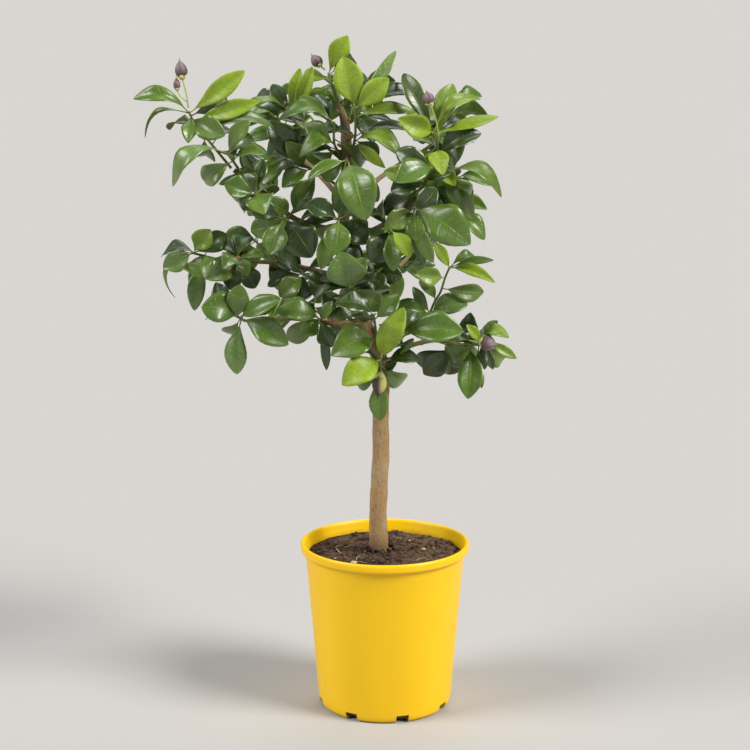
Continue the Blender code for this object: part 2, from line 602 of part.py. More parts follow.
class Sprig:
    """A twig and the leaves that have found room on it so far."""

    def __init__(self, name, points, parts, material):
        self.name = name
        self.points = points
        overrun = (points[-1] - points[-2]).normalized() * TWIG_OVERRUN * MM
        radii = [TWIG_RADIUS * MM * (1.15 - 0.35 * i / len(points)) for i in range(len(points))]
        self.twig = mesh_tube(
            name, points[:-1] + [points[-1] + overrun], radii, TWIG_SIDES, parts, material)
        self.shapes = [faces_of(self.twig.data)]
        self.outer_leaves = []
        self.leaves = []

    def put_out(self, rows, fixed, sprigs):
        """Adds each leaf of the rows that finds room among the fixed shapes and the other sprigs."""
        others = [shape for sprig in sprigs if sprig is not self for shape in sprig.shapes]
        standing = tree_of(fixed + others)
        for share, *row in rows:
            name = f"{self.name}_leaf_{len(self.leaves) + 1}"
            base = along_route(self.points, share)
            mesh = placed_leaf(name, base, row, standing, self.outer_leaves)
            if mesh:
                self.shapes.append(faces_of(mesh))
                self.leaves.append(bpy.data.objects.new(name, mesh))
            else:
                print("no room for a leaf of", self.name, [round(value, 2) for value in row])


def grown_route(reach, route):
    """The twig's points, drawn out in depth towards its end."""
    last = len(route) - 1
    return [seen(across, depth + reach * i / last, up) for i, (across, depth, up) in enumerate(route)]


def spiral_row(points, share, out, length, width, turn):
    """A leaf that leaves the twig along out, as a row like those of a front sprig."""
    tip = (along_route(points, share) + out.normalized() * length * MM) / MM
    sight = EYE_DISTANCE / (EYE_DISTANCE + tip.y)
    return (share, tip.x * sight, tip.y, EYE_HEIGHT + (tip.z - EYE_HEIGHT) * sight,
            width, turn, SPIRAL_BOW)


def back_leaves(count, length, points):
    """Leaves set in a spiral all round a twig."""
    rows = []
    heading = (points[-1] - points[0]).normalized()
    first = heading.cross(Vector((0.0, 0.0, 1.0))).normalized()
    second = heading.cross(first)
    for i in range(count):
        angle = i * SPIRAL_STEP
        out = first * math.cos(angle) + second * math.sin(angle) + heading * BACK_RISE[i % 3]
        turn = -BACK_TURN if out.y > 0 else BACK_TURN
        rows.append(spiral_row(points, 1.0 - 0.8 * i / count, out, length, BACK_WIDTH, turn))
    return rows


def shade_leaves(points, first_angle):
    """Leaves set in a spiral round the far side of a front twig."""
    rows = []
    for i in range(SHADE_LEAVES):
        angle = (first_angle + i * SPIRAL_STEP) % math.pi
        out = Vector((math.cos(angle), math.sin(angle), SHADE_RISE[i]))
        rows.append(spiral_row(
            points, 0.95 - SHADE_STEP * i, out, SHADE_LENGTH, SHADE_WIDTH, 90 - 60 * (i % 2)))
    return rows


def build_bud(name, stalk, tip, width, parts, material):
    """A closed flower bud on its stalk, with the green cup that holds it."""
    points = [seen(*place) for place in stalk]
    end = seen(*tip)
    axis = end - points[-1]
    length = axis.length
    axis.normalize()
    stem = mesh_tube(name, points + [points[-1] + axis * STALK_OVERRUN_SHARE * length],
                     [STALK_RADIUS * MM] * (len(points) + 1), STALK_SIDES, parts, material)
    turn = axis.to_track_quat("Z", "Y").to_matrix().to_4x4()
    bm = bmesh.new()
    bmesh.ops.create_uvsphere(bm, u_segments=BUD_SIDES, v_segments=BUD_RINGS, radius=1.0)
    for vert in bm.verts:
        height = (vert.co.z + 1) / 2
        taper = width / 2 * MM * (1.0 - BUD_TAPER * height)
        vert.co = Vector((vert.co.x * taper, vert.co.y * taper, height * length))
    bm.transform(turn)
    bmesh.ops.translate(bm, verts=bm.verts, vec=points[-1])
    petals = bpy.data.meshes.new(name + "_petals")
    bm.to_mesh(petals)
    bm.free()
    bm = bmesh.new()
    bmesh.ops.create_cone(
        bm, cap_ends=True, segments=BUD_SIDES, radius1=CALYX_FOOT_SHARE * width * MM,
        radius2=CALYX_MOUTH_SHARE * width * MM, depth=CALYX_SHARE * length)
    bmesh.ops.translate(bm, verts=bm.verts, vec=(0.0, 0.0, CALYX_LIFT * CALYX_SHARE * length))
    bm.transform(turn)
    bmesh.ops.translate(bm, verts=bm.verts, vec=points[-1])
    calyx = bpy.data.meshes.new(name + "_calyx")
    bm.to_mesh(calyx)
    bm.free()
    pieces = [bpy.data.objects.new(mesh.name, mesh) for mesh in (petals, calyx)]
    return grown_together(stem, pieces)


def main():
    clear_scene()
    parts = new_collection("potted_lemon_tree")
    cutters = new_collection("cutters")
    plastic = new_material("yellow_plastic", (0.90, 0.55, 0.01), 0.38)
    earth = new_material("dark_soil", (0.045, 0.025, 0.014), 0.95)
    bark = new_material("bark", (0.20, 0.15, 0.09), 0.85)
    green = new_material("leaf_green", (0.07, 0.19, 0.02), 0.35)
    purple = new_material("bud_purple", (0.28, 0.17, 0.18), 0.6)

    build_pot(parts, cutters, plastic)
    build_soil(parts, cutters, earth)
    wood = [build_wood("trunk", TRUNK, TRUNK_SIDES, parts, bark)]
    for name, rows in BRANCHES.items():
        wood.append(build_wood(name, rows, BRANCH_SIDES, parts, bark))
    buds = [build_bud(name, *bud, parts, purple) for name, bud in BUDS.items()]

    sprigs = []
    for name, (reach, route, _) in SPRIGS.items():
        sprigs.append(Sprig(name, grown_route(reach, route), parts, green))
    for name, (route, *_) in BACK_SPRIGS.items():
        sprigs.append(Sprig(name, grown_route(0.0, route), parts, green))
    fixed = [faces_of(obj.data) for obj in wood + buds]
    for sprig in sprigs:
        if sprig.name in SPRIGS:
            reach, _, rows = SPRIGS[sprig.name]
            rows = [(share, x, y + reach * share, *rest) for share, x, y, *rest in rows]
        else:
            _, count, length = BACK_SPRIGS[sprig.name]
            rows = back_leaves(count, length, sprig.points)
        sprig.put_out(rows, fixed, sprigs)
    for i, sprig in enumerate(sprigs[:len(SPRIGS)]):
        if sprig.name not in UNSHADED:
            sprig.put_out(shade_leaves(sprig.points, i), fixed, sprigs)
    for sprig in sprigs:
        grown_together(sprig.twig, sprig.leaves)


main()
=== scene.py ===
import math
import random

import bmesh
import bpy
from mathutils import Matrix, Vector, noise
from mathutils.kdtree import KDTree


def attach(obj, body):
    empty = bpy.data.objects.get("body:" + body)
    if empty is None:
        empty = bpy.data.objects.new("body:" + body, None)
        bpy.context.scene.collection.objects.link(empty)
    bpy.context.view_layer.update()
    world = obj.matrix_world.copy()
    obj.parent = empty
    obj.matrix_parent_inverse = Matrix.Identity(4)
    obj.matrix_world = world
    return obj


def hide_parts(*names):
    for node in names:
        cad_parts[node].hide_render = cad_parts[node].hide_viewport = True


mm = 0.001
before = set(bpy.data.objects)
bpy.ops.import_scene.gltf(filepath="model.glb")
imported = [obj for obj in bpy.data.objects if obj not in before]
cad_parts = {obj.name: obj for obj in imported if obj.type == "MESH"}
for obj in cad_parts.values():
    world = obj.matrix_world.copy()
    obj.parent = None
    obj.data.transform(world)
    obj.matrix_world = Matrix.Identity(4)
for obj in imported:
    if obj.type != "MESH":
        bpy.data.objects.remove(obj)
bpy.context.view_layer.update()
random.seed(11)
noise.seed_set(5)
print("frame loaded:", len(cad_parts), "nodes")

# The crown is set out as it lines up on the trunk's plane from this eye, in millimetres.
eye = {"distance": 1834.0, "height": 740.0}
# A route is a list of (across, depth, up, radius).
trunkRoute = [(-6, 0, 133, 9.0), (-6, 0, 172, 12.3), (-6, 0, 184, 12.3), (-7, 0, 196, 11.4),
    (-8, 1, 236, 10.3), (-5, 1, 300, 9.8), (-5, 0, 370, 9.5), (-3, -1, 400, 9.4), (-10, -1, 428, 9.2),
    (-20, 0, 450, 8.8), (-39, 0, 500, 7.5), (-50, 0, 545, 7.0), (-46, 0, 600, 6.5), (-44, 0, 655, 6.0),
    (-46, 0, 690, 5.2), (-54, -1, 712, 2.4)]
branchRoutes = {
    "left_top": [(-57, -2, 567, 3.5), (-78, -14, 572, 3.4), (-103, -26, 580, 3.2), (-126, -35, 598, 3.0),
        (-150, -42, 620, 2.7), (-172, -46, 636, 2.4)],
    "left": [(-51, 2, 512, 3.3), (-66, 6, 517, 3.2), (-95, 12, 524, 3.0), (-130, 14, 530, 2.7),
        (-165, 10, 531, 2.3), (-195, 6, 534, 2.0)],
    "left_low": [(-36, -2, 462, 3.2), (-54, -8, 459, 3.0), (-76, -16, 461, 2.8), (-110, -22, 465, 2.5),
        (-145, -28, 462, 2.2), (-160, -30, 462, 2.0)],
    "right_top": [(-39, -1, 561, 3.4), (-15, -8, 567, 3.3), (15, -16, 585, 3.0), (38, -22, 606, 2.7),
        (56, -26, 632, 2.3)],
    "right": [(2, 3, 440, 3.0), (22, 6, 450, 2.7), (46, 2, 464, 2.2)],
    "right_low": [(9, 0, 410, 2.8), (18, -6, 424, 2.6), (32, -10, 434, 2.4), (62, -10, 440, 2.2),
        (92, -12, 433, 2.0)],
    "back_left": [(-54, 9, 606, 3.3), (-70, 45, 625, 3.0), (-95, 85, 650, 2.6), (-110, 108, 672, 2.2)],
    "back_right_top": [(-36, 9, 598, 3.2), (-5, 48, 628, 2.9), (35, 82, 652, 2.5), (58, 98, 668, 2.2)],
    "back_right": [(-23, 10, 486, 3.2), (-5, 45, 505, 2.9), (25, 80, 535, 2.6), (45, 104, 563, 2.2)],
    "back_low": [(-14, 11, 432, 3.0), (-35, 45, 447, 2.7), (-68, 80, 468, 2.3)],
}

# A sprig is how far it grows on in depth by its end, the tones of its leaves, the route of its twig as
# (across, depth, up) and its leaves as (share along the twig, tip across, tip depth, tip up, width,
# turn, bow). A turn of 0 faces the leaf up, 90 to the front and 180 down. The bow is the arch's rise as
# a share of the length.
sprigTable = {
    "left_tip": (0, "mhyymmm", [(-178, -48, 641), (-187, -49, 652), (-200, -50, 668), (-215, -52, 686),
        (-222, -54, 700)], [(1.0, -285, -62, 716, 20, 50, 0.3), (0.9, -182, -86, 674, 26, 80, 0.12),
        (1.0, -158, -62, 747, 22, 75, 0.1), (0.85, -142, -70, 713, 20, 70, 0.12),
        (0.95, -224, -82, 666, 17, 80, 0.12), (1.0, -273, -44, 672, 14, 20, 0.3),
        (0.5, -127, -54, 685, 20, 40, 0.35)]),
    "left_upper": (-12, "pom", [(-166, -52, 635), (-172, -62, 644), (-180, -70, 655)], [
        (1.0, -243, -84, 617, 26, 40, 0.42), (0.9, -155, -76, 692, 18, 65, 0.1),
        (0.6, -137, -78, 654, 18, 45, 0.2)]),
    "left_under": (-14, "mmddd", [(-146, -49, 612), (-148, -59, 608)], [(1.0, -138, -93, 585, 32, 60, 0.15),
        (1.0, -184, -67, 620, 26, 70, 0.12), (0.7, -163, -69, 590, 22, 75, 0.1),
        (0.4, -140, -41, 648, 20, 80, 0.1), (0.3, -162, -35, 658, 18, 80, 0.1)]),
    "inner_left_top": (-6, "yydmh", [(-53, 9, 650), (-75, 14, 668), (-98, 14, 685), (-108, 12, 702)], [
        (1.0, -96, 2, 750, 16, 80, 0.1), (0.95, -82, 0, 752, 18, 75, 0.1),
        (1.0, -128, 14, 732, 20, 95, 0.08), (0.95, -165, -4, 702, 16, 25, 0.28),
        (0.7, -160, -10, 668, 20, 60, 0.2)]),
    "top": (-4, "yggy", [(-55, -1, 716), (-60, -2, 730), (-64, -2, 743)], [
        (1.0, -42, -8, 786, 23, 80, 0.12), (0.8, -92, 12, 744, 15, 80, 0.15),
        (0.4, -30, 16, 748, 20, 95, 0.1), (0.2, -87, 8, 722, 13, 80, 0.1)]),
    "top_left": (-26, "hmhdod", [(-52, -8, 655), (-58, -14, 666), (-58, -12, 688)], [
        (1.0, -122, -24, 691, 22, 30, 0.32), (0.1, -98, -36, 650, 26, 40, 0.42),
        (1.0, -97, -8, 719, 16, 60, 0.12), (0.9, -82, 6, 721, 18, 80, 0.1),
        (0.4, -91, -8, 688, 22, 80, 0.12), (0.2, -102, 0, 668, 18, 90, 0.08)]),
    "top_right": (-26, "yygppdddyog", [(-36, -9, 664), (-34, -15, 676), (-34, -14, 690), (-34, -13, 705)], [
        (1.0, -48, -18, 763, 33, 85, 0.08), (1.0, 4, -26, 739, 26, 75, 0.12),
        (0.1, 20, -40, 650, 25, 45, 0.3), (1.0, 12, -4, 769, 14, 70, 0.12),
        (0.6, -20, -32, 738, 13, 60, 0.1), (0.95, 38, 4, 722, 18, 55, 0.2),
        (0.5, 9, -26, 690, 13, 25, 0.25), (0.3, 28, -14, 680, 16, 35, 0.18),
        (0.1, 0, -34, 638, 13, 80, 0.1), (0.2, -8, -6, 648, 22, 75, 0.1),
        (0.8, 34, -10, 701, 16, 60, 0.2)]),
    "left_inner": (-8, "dmooh", [(-55, 6, 618), (-72, 8, 630), (-92, 8, 641)], [
        (1.0, -133, 2, 691, 30, 80, 0.12), (0.8, -118, -12, 616, 22, 60, 0.15),
        (1.0, -113, -8, 668, 20, 80, 0.1), (0.9, -135, -14, 638, 12, 20, 0.25),
        (0.6, -104, -2, 590, 25, 75, 0.15)]),
    "centre_front": (-58, "hmdhm", [(-45, -10, 650), (-43, -22, 646)], [(1.0, -22, -62, 578, 41, 75, 0.22),
        (0.8, -88, -28, 626, 14, 60, 0.12), (0.7, -8, -24, 600, 26, 75, 0.15),
        (0.2, -70, -8, 624, 22, 60, 0.15), (0.4, -56, -16, 588, 17, 80, 0.1)]),
    "left_hanging": (-22, "hdd", [(-112, -32, 582), (-117, -42, 580)], [(1.0, -133, -64, 539, 27, 80, 0.12),
        (0.7, -84, -60, 536, 38, 80, 0.14), (0.3, -108, -30, 540, 24, 80, 0.12)]),
    "centre_left": (-62, "mddmd", [(-52, -11, 579), (-53, -22, 580)], [(1.0, -60, -44, 538, 29, 80, 0.15),
        (0.6, -92, -24, 598, 24, 60, 0.18), (0.4, -20, -20, 552, 26, 75, 0.12),
        (0.8, -74, -34, 522, 20, 80, 0.12), (0.2, -92, -12, 577, 14, 50, 0.12)]),
    "centre_low": (-66, "hodd", [(-40, -11, 499), (-41, -21, 501)], [(1.0, -51, -42, 543, 42, 75, 0.18),
        (0.8, -24, -16, 536, 22, 80, 0.1), (0.4, -72, -14, 496, 16, 40, 0.2),
        (0.5, -35, -12, 557, 22, 85, 0.1)]),
    "front_low": (-44, "hdm", [(-9, -13, 436), (-10, -22, 446), (-13, -27, 468)], [
        (0.2, -63, -52, 421, 40, 60, 0.25), (1.0, -58, -36, 483, 33, 45, 0.22),
        (0.9, 16, -26, 493, 22, 70, 0.15)]),
    "left_mid_tip": (-14, "mgpmpp", [(-199, 4, 535), (-210, -1, 538), (-222, -7, 541)], [
        (0.5, -209, -32, 510, 34, 85, 0.12), (0.95, -200, -14, 568, 24, 80, 0.12),
        (1.0, -256, -20, 523, 24, 70, 0.12), (1.0, -243, -3, 489, 12, 15, 0.38),
        (0.3, -221, -16, 474, 20, 75, 0.1), (0.6, -226, 0, 504, 10, 60, 0.1)]),
    "left_mid": (-26, "hmmdd", [(-166, 4, 532), (-170, -8, 535)], [(1.0, -187, -26, 522, 22, 45, 0.35),
        (0.8, -159, -22, 514, 16, 45, 0.25), (0.6, -137, -14, 537, 14, 40, 0.2),
        (0.7, -180, -6, 498, 22, 60, 0.12), (0.5, -150, -2, 500, 24, 60, 0.12)]),
    "left_mid_inner": (-12, "oddd", [(-95, 6, 520), (-93, -4, 516)], [(1.0, -122, -12, 490, 24, 65, 0.15),
        (0.8, -136, 2, 503, 18, 60, 0.15), (0.8, -68, -14, 506, 18, 60, 0.15),
        (0.4, -98, 10, 486, 24, 80, 0.12)]),
    "left_low_tip": (-12, "hmhdph", [(-164, -32, 463), (-170, -37, 466)], [
        (1.0, -213, -56, 478, 36, 60, 0.18), (0.6, -112, -58, 434, 30, 80, 0.12),
        (0.9, -120, -66, 488, 24, 60, 0.14), (0.7, -196, -28, 507, 24, 95, 0.1),
        (0.4, -173, -50, 399, 25, 85, 0.08), (1.0, -168, -48, 505, 25, 60, 0.18)]),
    "left_low_inner": (-18, "hmmdd", [(-77, -22, 462), (-75, -32, 464)], [
        (1.0, -125, -48, 474, 30, 55, 0.22), (0.8, -98, -44, 446, 24, 70, 0.15),
        (0.8, -61, -40, 486, 12, 70, 0.1), (0.4, -68, -30, 404, 11, 80, 0.14),
        (0.5, -62, -28, 431, 22, 80, 0.12)]),
    "new_growth": (-22, "yypdm", [(-2, -13, 400), (-4, -18, 408), (-5, -23, 418)], [
        (1.0, 22, -46, 478, 28, 80, 0.2), (0.95, -50, -48, 386, 34, 62, 0.24),
        (0.9, 10, -20, 448, 17, 80, 0.1), (0.3, 13, -28, 411, 12, 60, 0.1),
        (0.1, -6, -16, 344, 22, 88, 0.03)]),
    "right_mid": (-8, "gypmmoyommm", [(49, 0, 466), (52, -1, 472), (58, -4, 486), (64, -8, 496),
        (69, -12, 512), (74, -16, 524)], [(0.8, 35, -36, 517, 21, 85, 0.1),
        (1.0, 127, -44, 507, 14, 65, 0.16), (0.1, 96, -14, 482, 26, 65, 0.15),
        (0.05, 3, -20, 470, 28, 60, 0.2), (1.0, 104, -4, 537, 16, 45, 0.28),
        (1.0, 125, -20, 533, 9, 70, 0.1), (1.0, 56, -34, 554, 13, 70, 0.12),
        (0.6, 114, 8, 496, 22, 100, 0.12), (0.05, 32, -12, 502, 13, 70, 0.1),
        (0.35, 39, -24, 509, 14, 60, 0.1), (0.0, 18, -26, 461, 11, 40, 0.12)]),
    "right_low_leaf": (-26, "hm", [(19, -13, 434), (19, -21, 441), (20, -27, 447)], [
        (1.0, 91, -50, 450, 37, 60, 0.14), (0.5, 44, -6, 468, 14, 60, 0.12)]),
    "right_low_tip": (-6, "mggyddom", [(96, -12, 434), (103, -14, 434), (110, -15, 436), (116, -16, 441)], [
        (0.1, 97, -38, 370, 30, 85, 0.08), (0.9, 144, -30, 443, 20, 35, 0.42),
        (1.0, 153, -18, 418, 12, 70, 0.14), (0.8, 94, -28, 458, 12, 60, 0.12),
        (0.7, 116, -18, 405, 11, 80, 0.1), (0.95, 126, -16, 405, 11, 80, 0.1),
        (0.6, 113, -6, 383, 11, 80, 0.1), (0.85, 130, -22, 463, 13, 45, 0.12)]),
    "right_low_back": (0, "ddddd", [(63, -4, 438), (74, 8, 434), (80, 18, 432)], [
        (1.0, 45, 20, 399, 30, 100, 0.12), (0.9, 36, 40, 414, 26, 95, 0.12),
        (0.9, 73, 32, 399, 22, 90, 0.12), (0.6, 106, 28, 452, 24, 80, 0.12),
        (0.6, 90, 22, 408, 22, 90, 0.12)]),
    "right_top": (-12, "dyydgymyg", [(58, -27, 638), (60, -31, 652), (58, -33, 668), (54, -33, 680)], [
        (1.0, 20, -22, 744, 21, 85, 0.14), (0.95, 14, -60, 694, 26, 85, 0.2),
        (0.5, 66, -70, 630, 22, 80, 0.15), (0.3, 109, -38, 677, 28, 55, 0.24),
        (0.8, 76, -22, 733, 25, 70, 0.12), (0.9, 128, -22, 696, 15, 60, 0.14),
        (0.5, 31, -46, 670, 15, 30, 0.18), (0.4, 36, -50, 642, 22, 120, 0.12),
        (0.95, 108, -20, 715, 16, 40, 0.35)]),
    "right_top_side": (-18, "oyop", [(60, -31, 629), (68, -35, 631)], [(1.0, 133, -45, 605, 27, 30, 0.36),
        (0.7, 80, -59, 618, 17, 70, 0.15), (0.4, 100, -29, 580, 18, 60, 0.25),
        (0.5, 84, -49, 592, 14, 70, 0.12)]),
    "right_mid_top": (-34, "hpdmdg", [(38, -26, 610), (46, -35, 623), (55, -41, 638)], [
        (1.0, 12, -70, 622, 29, 60, 0.15), (0.3, 55, -66, 592, 22, 70, 0.15),
        (0.4, 6, -34, 612, 26, 70, 0.14), (0.8, 22, -26, 654, 24, 80, 0.12),
        (0.2, -3, -20, 586, 26, 75, 0.12), (0.5, -2, -22, 634, 20, 70, 0.12)]),
    "right_mid_low": (-36, "hoodm", [(28, -22, 592), (33, -31, 592)], [(1.0, 98, -61, 551, 44, 70, 0.22),
        (0.7, 36, -49, 554, 23, 85, 0.15), (0.4, 22, -35, 556, 20, 85, 0.12),
        (0.8, 45, -27, 529, 15, 85, 0.1), (0.9, 55, -34, 530, 17, 85, 0.1)]),
    "centre_right": (-52, "yhdd", [(2, -13, 571), (6, -22, 567)], [(1.0, 29, -41, 536, 17, 60, 0.15),
        (0.8, 10, -43, 520, 20, 80, 0.15), (0.6, -16, -35, 530, 34, 80, 0.15),
        (0.4, 20, -13, 540, 24, 80, 0.12)]),
    "centre_back": (0, "dddd", [(-12, 26, 503), (-10, 12, 520)], [(1.0, -12, -12, 497, 28, 80, 0.15),
        (0.9, 20, 2, 514, 24, 80, 0.12), (0.6, -40, 6, 482, 24, 80, 0.12), (0.9, 8, 4, 556, 26, 80, 0.12)]),
}
# The side away from the front: the route of each twig, its number of leaves and their length.
backSprigTable = {
    "back_left_top": ([(-112, 112, 676), (-120, 122, 690), (-126, 130, 706)], 11, 52),
    "back_left": ([(-92, 92, 644), (-118, 104, 640), (-142, 110, 636)], 11, 54),
    "back_top": ([(-43, 9, 684), (-38, 34, 704), (-34, 54, 722)], 11, 50),
    "back_right_top": ([(61, 101, 671), (68, 108, 686), (72, 112, 700)], 11, 50),
    "back_right_out": ([(36, 92, 648), (62, 108, 636), (84, 114, 628)], 11, 52),
    "back_right": ([(47, 108, 567), (60, 118, 574), (76, 124, 584)], 11, 54),
    "back_centre": ([(20, 86, 532), (4, 106, 524), (-8, 120, 520)], 12, 54),
    "back_low": ([(-72, 84, 470), (-90, 98, 478), (-106, 106, 488)], 12, 52),
    "back_left_low": ([(-131, 20, 534), (-140, 50, 545), (-150, 76, 556)], 12, 52),
}
# A bud is the route of its stalk, its tip and its width.
budTable = {
    "left_tip": ([(-223, -54, 706), (-225, -55, 722), (-229, -55, 738)], (-232, -55, 761), 14),
    "left_upper": ([(-190, -56, 672), (-187, -59, 695), (-181, -60, 720),
        (-176, -60, 730)], (-166, -60, 746), 12),
    "top": ([(-68, -3, 748), (-73, -5, 752)], (-84, -6, 766), 13),
    "right_top": ([(61, -46, 668), (58, -58, 689), (53, -63, 704), (50, -65, 709)], (46, -67, 726), 14),
    "left_mid": ([(-225, -20, 542), (-229, -22, 541)], (-244, -23, 544), 9),
    "low_left": ([(-72, -36, 463), (-68, -38, 464)], (-59, -38, 467), 8),
    "new_growth": ([(-8, -44, 413), (-13, -56, 409)], (-26, -64, 401), 9),
    "hanging": ([(-4, -33, 404), (-5, -34, 400)], (-9, -35, 369), 17),
    "right_low": ([(88, -22, 442), (100, -32, 439), (110, -36, 438)], (132, -42, 434), 18),
}
# A tone is its youth, paleness and darkness.
# darkness is partly a leaf's own deeper green and partly painted shade, for leaves that sit in shade inside
# the crown
# m mature, h mature and a little paler as a painted sheen, y young, g half young, d dark, o olive, p pale
toneValues = {
    "y": (0.95, 0.0, 0.0), "g": (0.50, 0.0, 0.0), "m": (0.10, 0.0, 0.15), "h": (0.06, 0.10, 0.20),
    "d": (0.0, 0.0, 0.85), "o": (0.22, 0.10, 0.55), "p": (0.08, 0.55, 0.20),
}
# the leaves that aren't in the tables: those behind the front sprigs, and the back of the crown
# the dark tones of these leaves, most of all those behind the front sprigs, are partly painted shade
spiral = {
    "step": math.radians(137.5), "bow": 0.2, "backRise": (0.5, -0.15, -1.1), "backWidth": 27.0,
    "backTurn": 40.0, "backTones": "mgdmhmdmdmhd", "shadeStep": 0.18, "shadeLength": 45.0,
    "shadeWidth": 24.0, "shadeRise": (0.5, -0.1, -0.6, 0.2, -0.35), "shadeTones": "ddodm",
    "unshaded": ("top_right", "right_mid", "centre_front"),
}


def seen(across, depth, up):
    share = (eye["distance"] + depth) / eye["distance"]
    return Vector((across * share, depth, eye["height"] + (up - eye["height"]) * share)) * mm


def grownRoute(reach, route):
    last = len(route) - 1
    return [seen(x, y + reach * i / last, z) for i, (x, y, z) in enumerate(route)]


def alongRoute(points, share):
    lengths = [(b - a).length for a, b in zip(points, points[1:])]
    left = min(max(share, 0.1), 1.0) * sum(lengths)
    for start, end, length in zip(points, points[1:], lengths):
        if left <= length:
            return start.lerp(end, left / length)
        left -= length
    return points[-1].copy()


def spiralRow(points, share, out, length, width, turn):
    tip = (alongRoute(points, share) + out.normalized() * length * mm) / mm
    sight = eye["distance"] / (eye["distance"] + tip.y)
    return (share, tip.x * sight, tip.y, eye["height"] + (tip.z - eye["height"]) * sight,
            width, turn, spiral["bow"])


def backRows(count, length, points):
    rows = []
    heading = (points[-1] - points[0]).normalized()
    first = heading.cross(Vector((0.0, 0.0, 1.0))).normalized()
    second = heading.cross(first)
    for i in range(count):
        angle = i * spiral["step"]
        out = first * math.cos(angle) + second * math.sin(angle) + heading * spiral["backRise"][i % 3]
        turn = -spiral["backTurn"] if out.y > 0 else spiral["backTurn"]
        rows.append(spiralRow(points, 1.0 - 0.8 * i / count, out, length, spiral["backWidth"], turn))
    return rows


def shadeRows(points, firstAngle):
    rows = []
    for i, rise in enumerate(spiral["shadeRise"]):
        angle = (firstAngle + i * spiral["step"]) % math.pi
        out = Vector((math.cos(angle), math.sin(angle), rise))
        rows.append(spiralRow(points, 0.95 - spiral["shadeStep"] * i, out, spiral["shadeLength"],
                              spiral["shadeWidth"], 90 - 60 * (i % 2)))
    return rows


# material tools
class Nodes:
    # the nodes of one material, world or node group, and short ways to add to them
    def __init__(self, tree):
        self.tree = tree

    def add(self, kind, settings=None, **feeds):
        node = self.tree.nodes.new(kind)
        for key, value in (settings or {}).items():
            setattr(node, key, value)
        for key, value in feeds.items():
            place = int(key[1:]) if key[0] == "i" and key[1:].isdigit() else key.replace("_", " ")
            self.feed(node.inputs[place], value)
        return node.outputs

    def feed(self, socket, value):
        if isinstance(value, bpy.types.NodeSocket):
            self.tree.links.new(value, socket)
        elif socket.type == "RGBA" and len(value) == 3:
            socket.default_value = (*value, 1.0)
        else:
            socket.default_value = value

    def math(self, operation, *values):
        feeds = {f"i{i}": value for i, value in enumerate(values)}
        return self.add("ShaderNodeMath", {"operation": operation}, **feeds)[0]

    def times(self, first, second):
        return self.math("MULTIPLY", first, second)

    def plus(self, first, second):
        return self.math("ADD", first, second)

    def mix(self, factor, first, second, blend="MIX"):
        settings = {"data_type": "RGBA", "blend_type": blend}
        return self.add("ShaderNodeMix", settings, i0=factor, i6=first, i7=second)[2]

    def ramp(self, value, low, high, toLow=0.0, toHigh=1.0):
        settings = {"interpolation_type": "SMOOTHSTEP"}
        return self.add("ShaderNodeMapRange", settings, i0=value, i1=low, i2=high, i3=toLow, i4=toHigh)[0]

    def noise(self, place, scale, detail, roughness=0.5):
        return self.add("ShaderNodeTexNoise", Vector=place, Scale=scale, Detail=detail,
                        Roughness=roughness)[0]

    def place(self, *stretch):
        place = self.add("ShaderNodeTexCoord")["Object"]
        return self.add("ShaderNodeMapping", Vector=place, Scale=stretch or (1.0, 1.0, 1.0))[0]

    def axes(self):
        return self.add("ShaderNodeSeparateXYZ", Vector=self.place())[:3]

    def attribute(self, name):
        return self.add("ShaderNodeAttribute", {"attribute_name": name})

    def channels(self, name):
        return self.add("ShaderNodeSeparateColor", Color=self.attribute(name)["Color"])[:3]

    def mottled(self, patchSize, grainSize):
        return self.add("ShaderNodeGroup", {"node_tree": mottle}, Place=self.place(),
                        Patch_Size=patchSize, Grain_Size=grainSize)[:2]


class Look(Nodes):
    # a material with one Principled shader
    def __init__(self, name, roughness, **constants):
        self.material = bpy.data.materials.new(name)
        self.material.use_nodes = True
        super().__init__(self.material.node_tree)
        self.tree.nodes.clear()
        shader = self.add("ShaderNodeBsdfPrincipled", Roughness=roughness, **constants)[0]
        self.inputs = shader.node.inputs
        self.add("ShaderNodeOutputMaterial", Surface=shader)

    def finish(self, color, roughness, height, strength, distance):
        self.feed(self.inputs["Base Color"], color)
        self.feed(self.inputs["Roughness"], roughness)
        bump = self.add("ShaderNodeBump", Height=height, Strength=strength, Distance=distance)[0]
        self.feed(self.inputs["Normal"], bump)
        return self.material


def makeMottle():
    # patches as a mask for colour, and a fine grain as a height for bump
    group = bpy.data.node_groups.new("mottle", "ShaderNodeTree")
    for name, way, kind in (("Place", "INPUT", "Vector"), ("Patch Size", "INPUT", "Float"),
                            ("Grain Size", "INPUT", "Float"), ("Patches", "OUTPUT", "Float"),
                            ("Grain", "OUTPUT", "Float")):
        group.interface.new_socket(name, in_out=way, socket_type="NodeSocket" + kind)
    nodes = Nodes(group)
    ways = nodes.add("NodeGroupInput")
    out = group.nodes.new("NodeGroupOutput").inputs
    nodes.feed(out[0], nodes.noise(ways[0], ways[1], 3.0, 0.6))
    nodes.feed(out[1], nodes.noise(ways[0], ways[2], 4.0, 0.65))
    return group


mottle = makeMottle()

plasticLook = {
    "color": (0.95, 0.59, 0.001), "shade": (0.89, 0.50, 0.001), "dust": (0.42, 0.25, 0.03),
    "roughness": 0.40, "soilLine": 0.186, "wallFoot": 0.0778, "wallSlope": 0.0824,
}


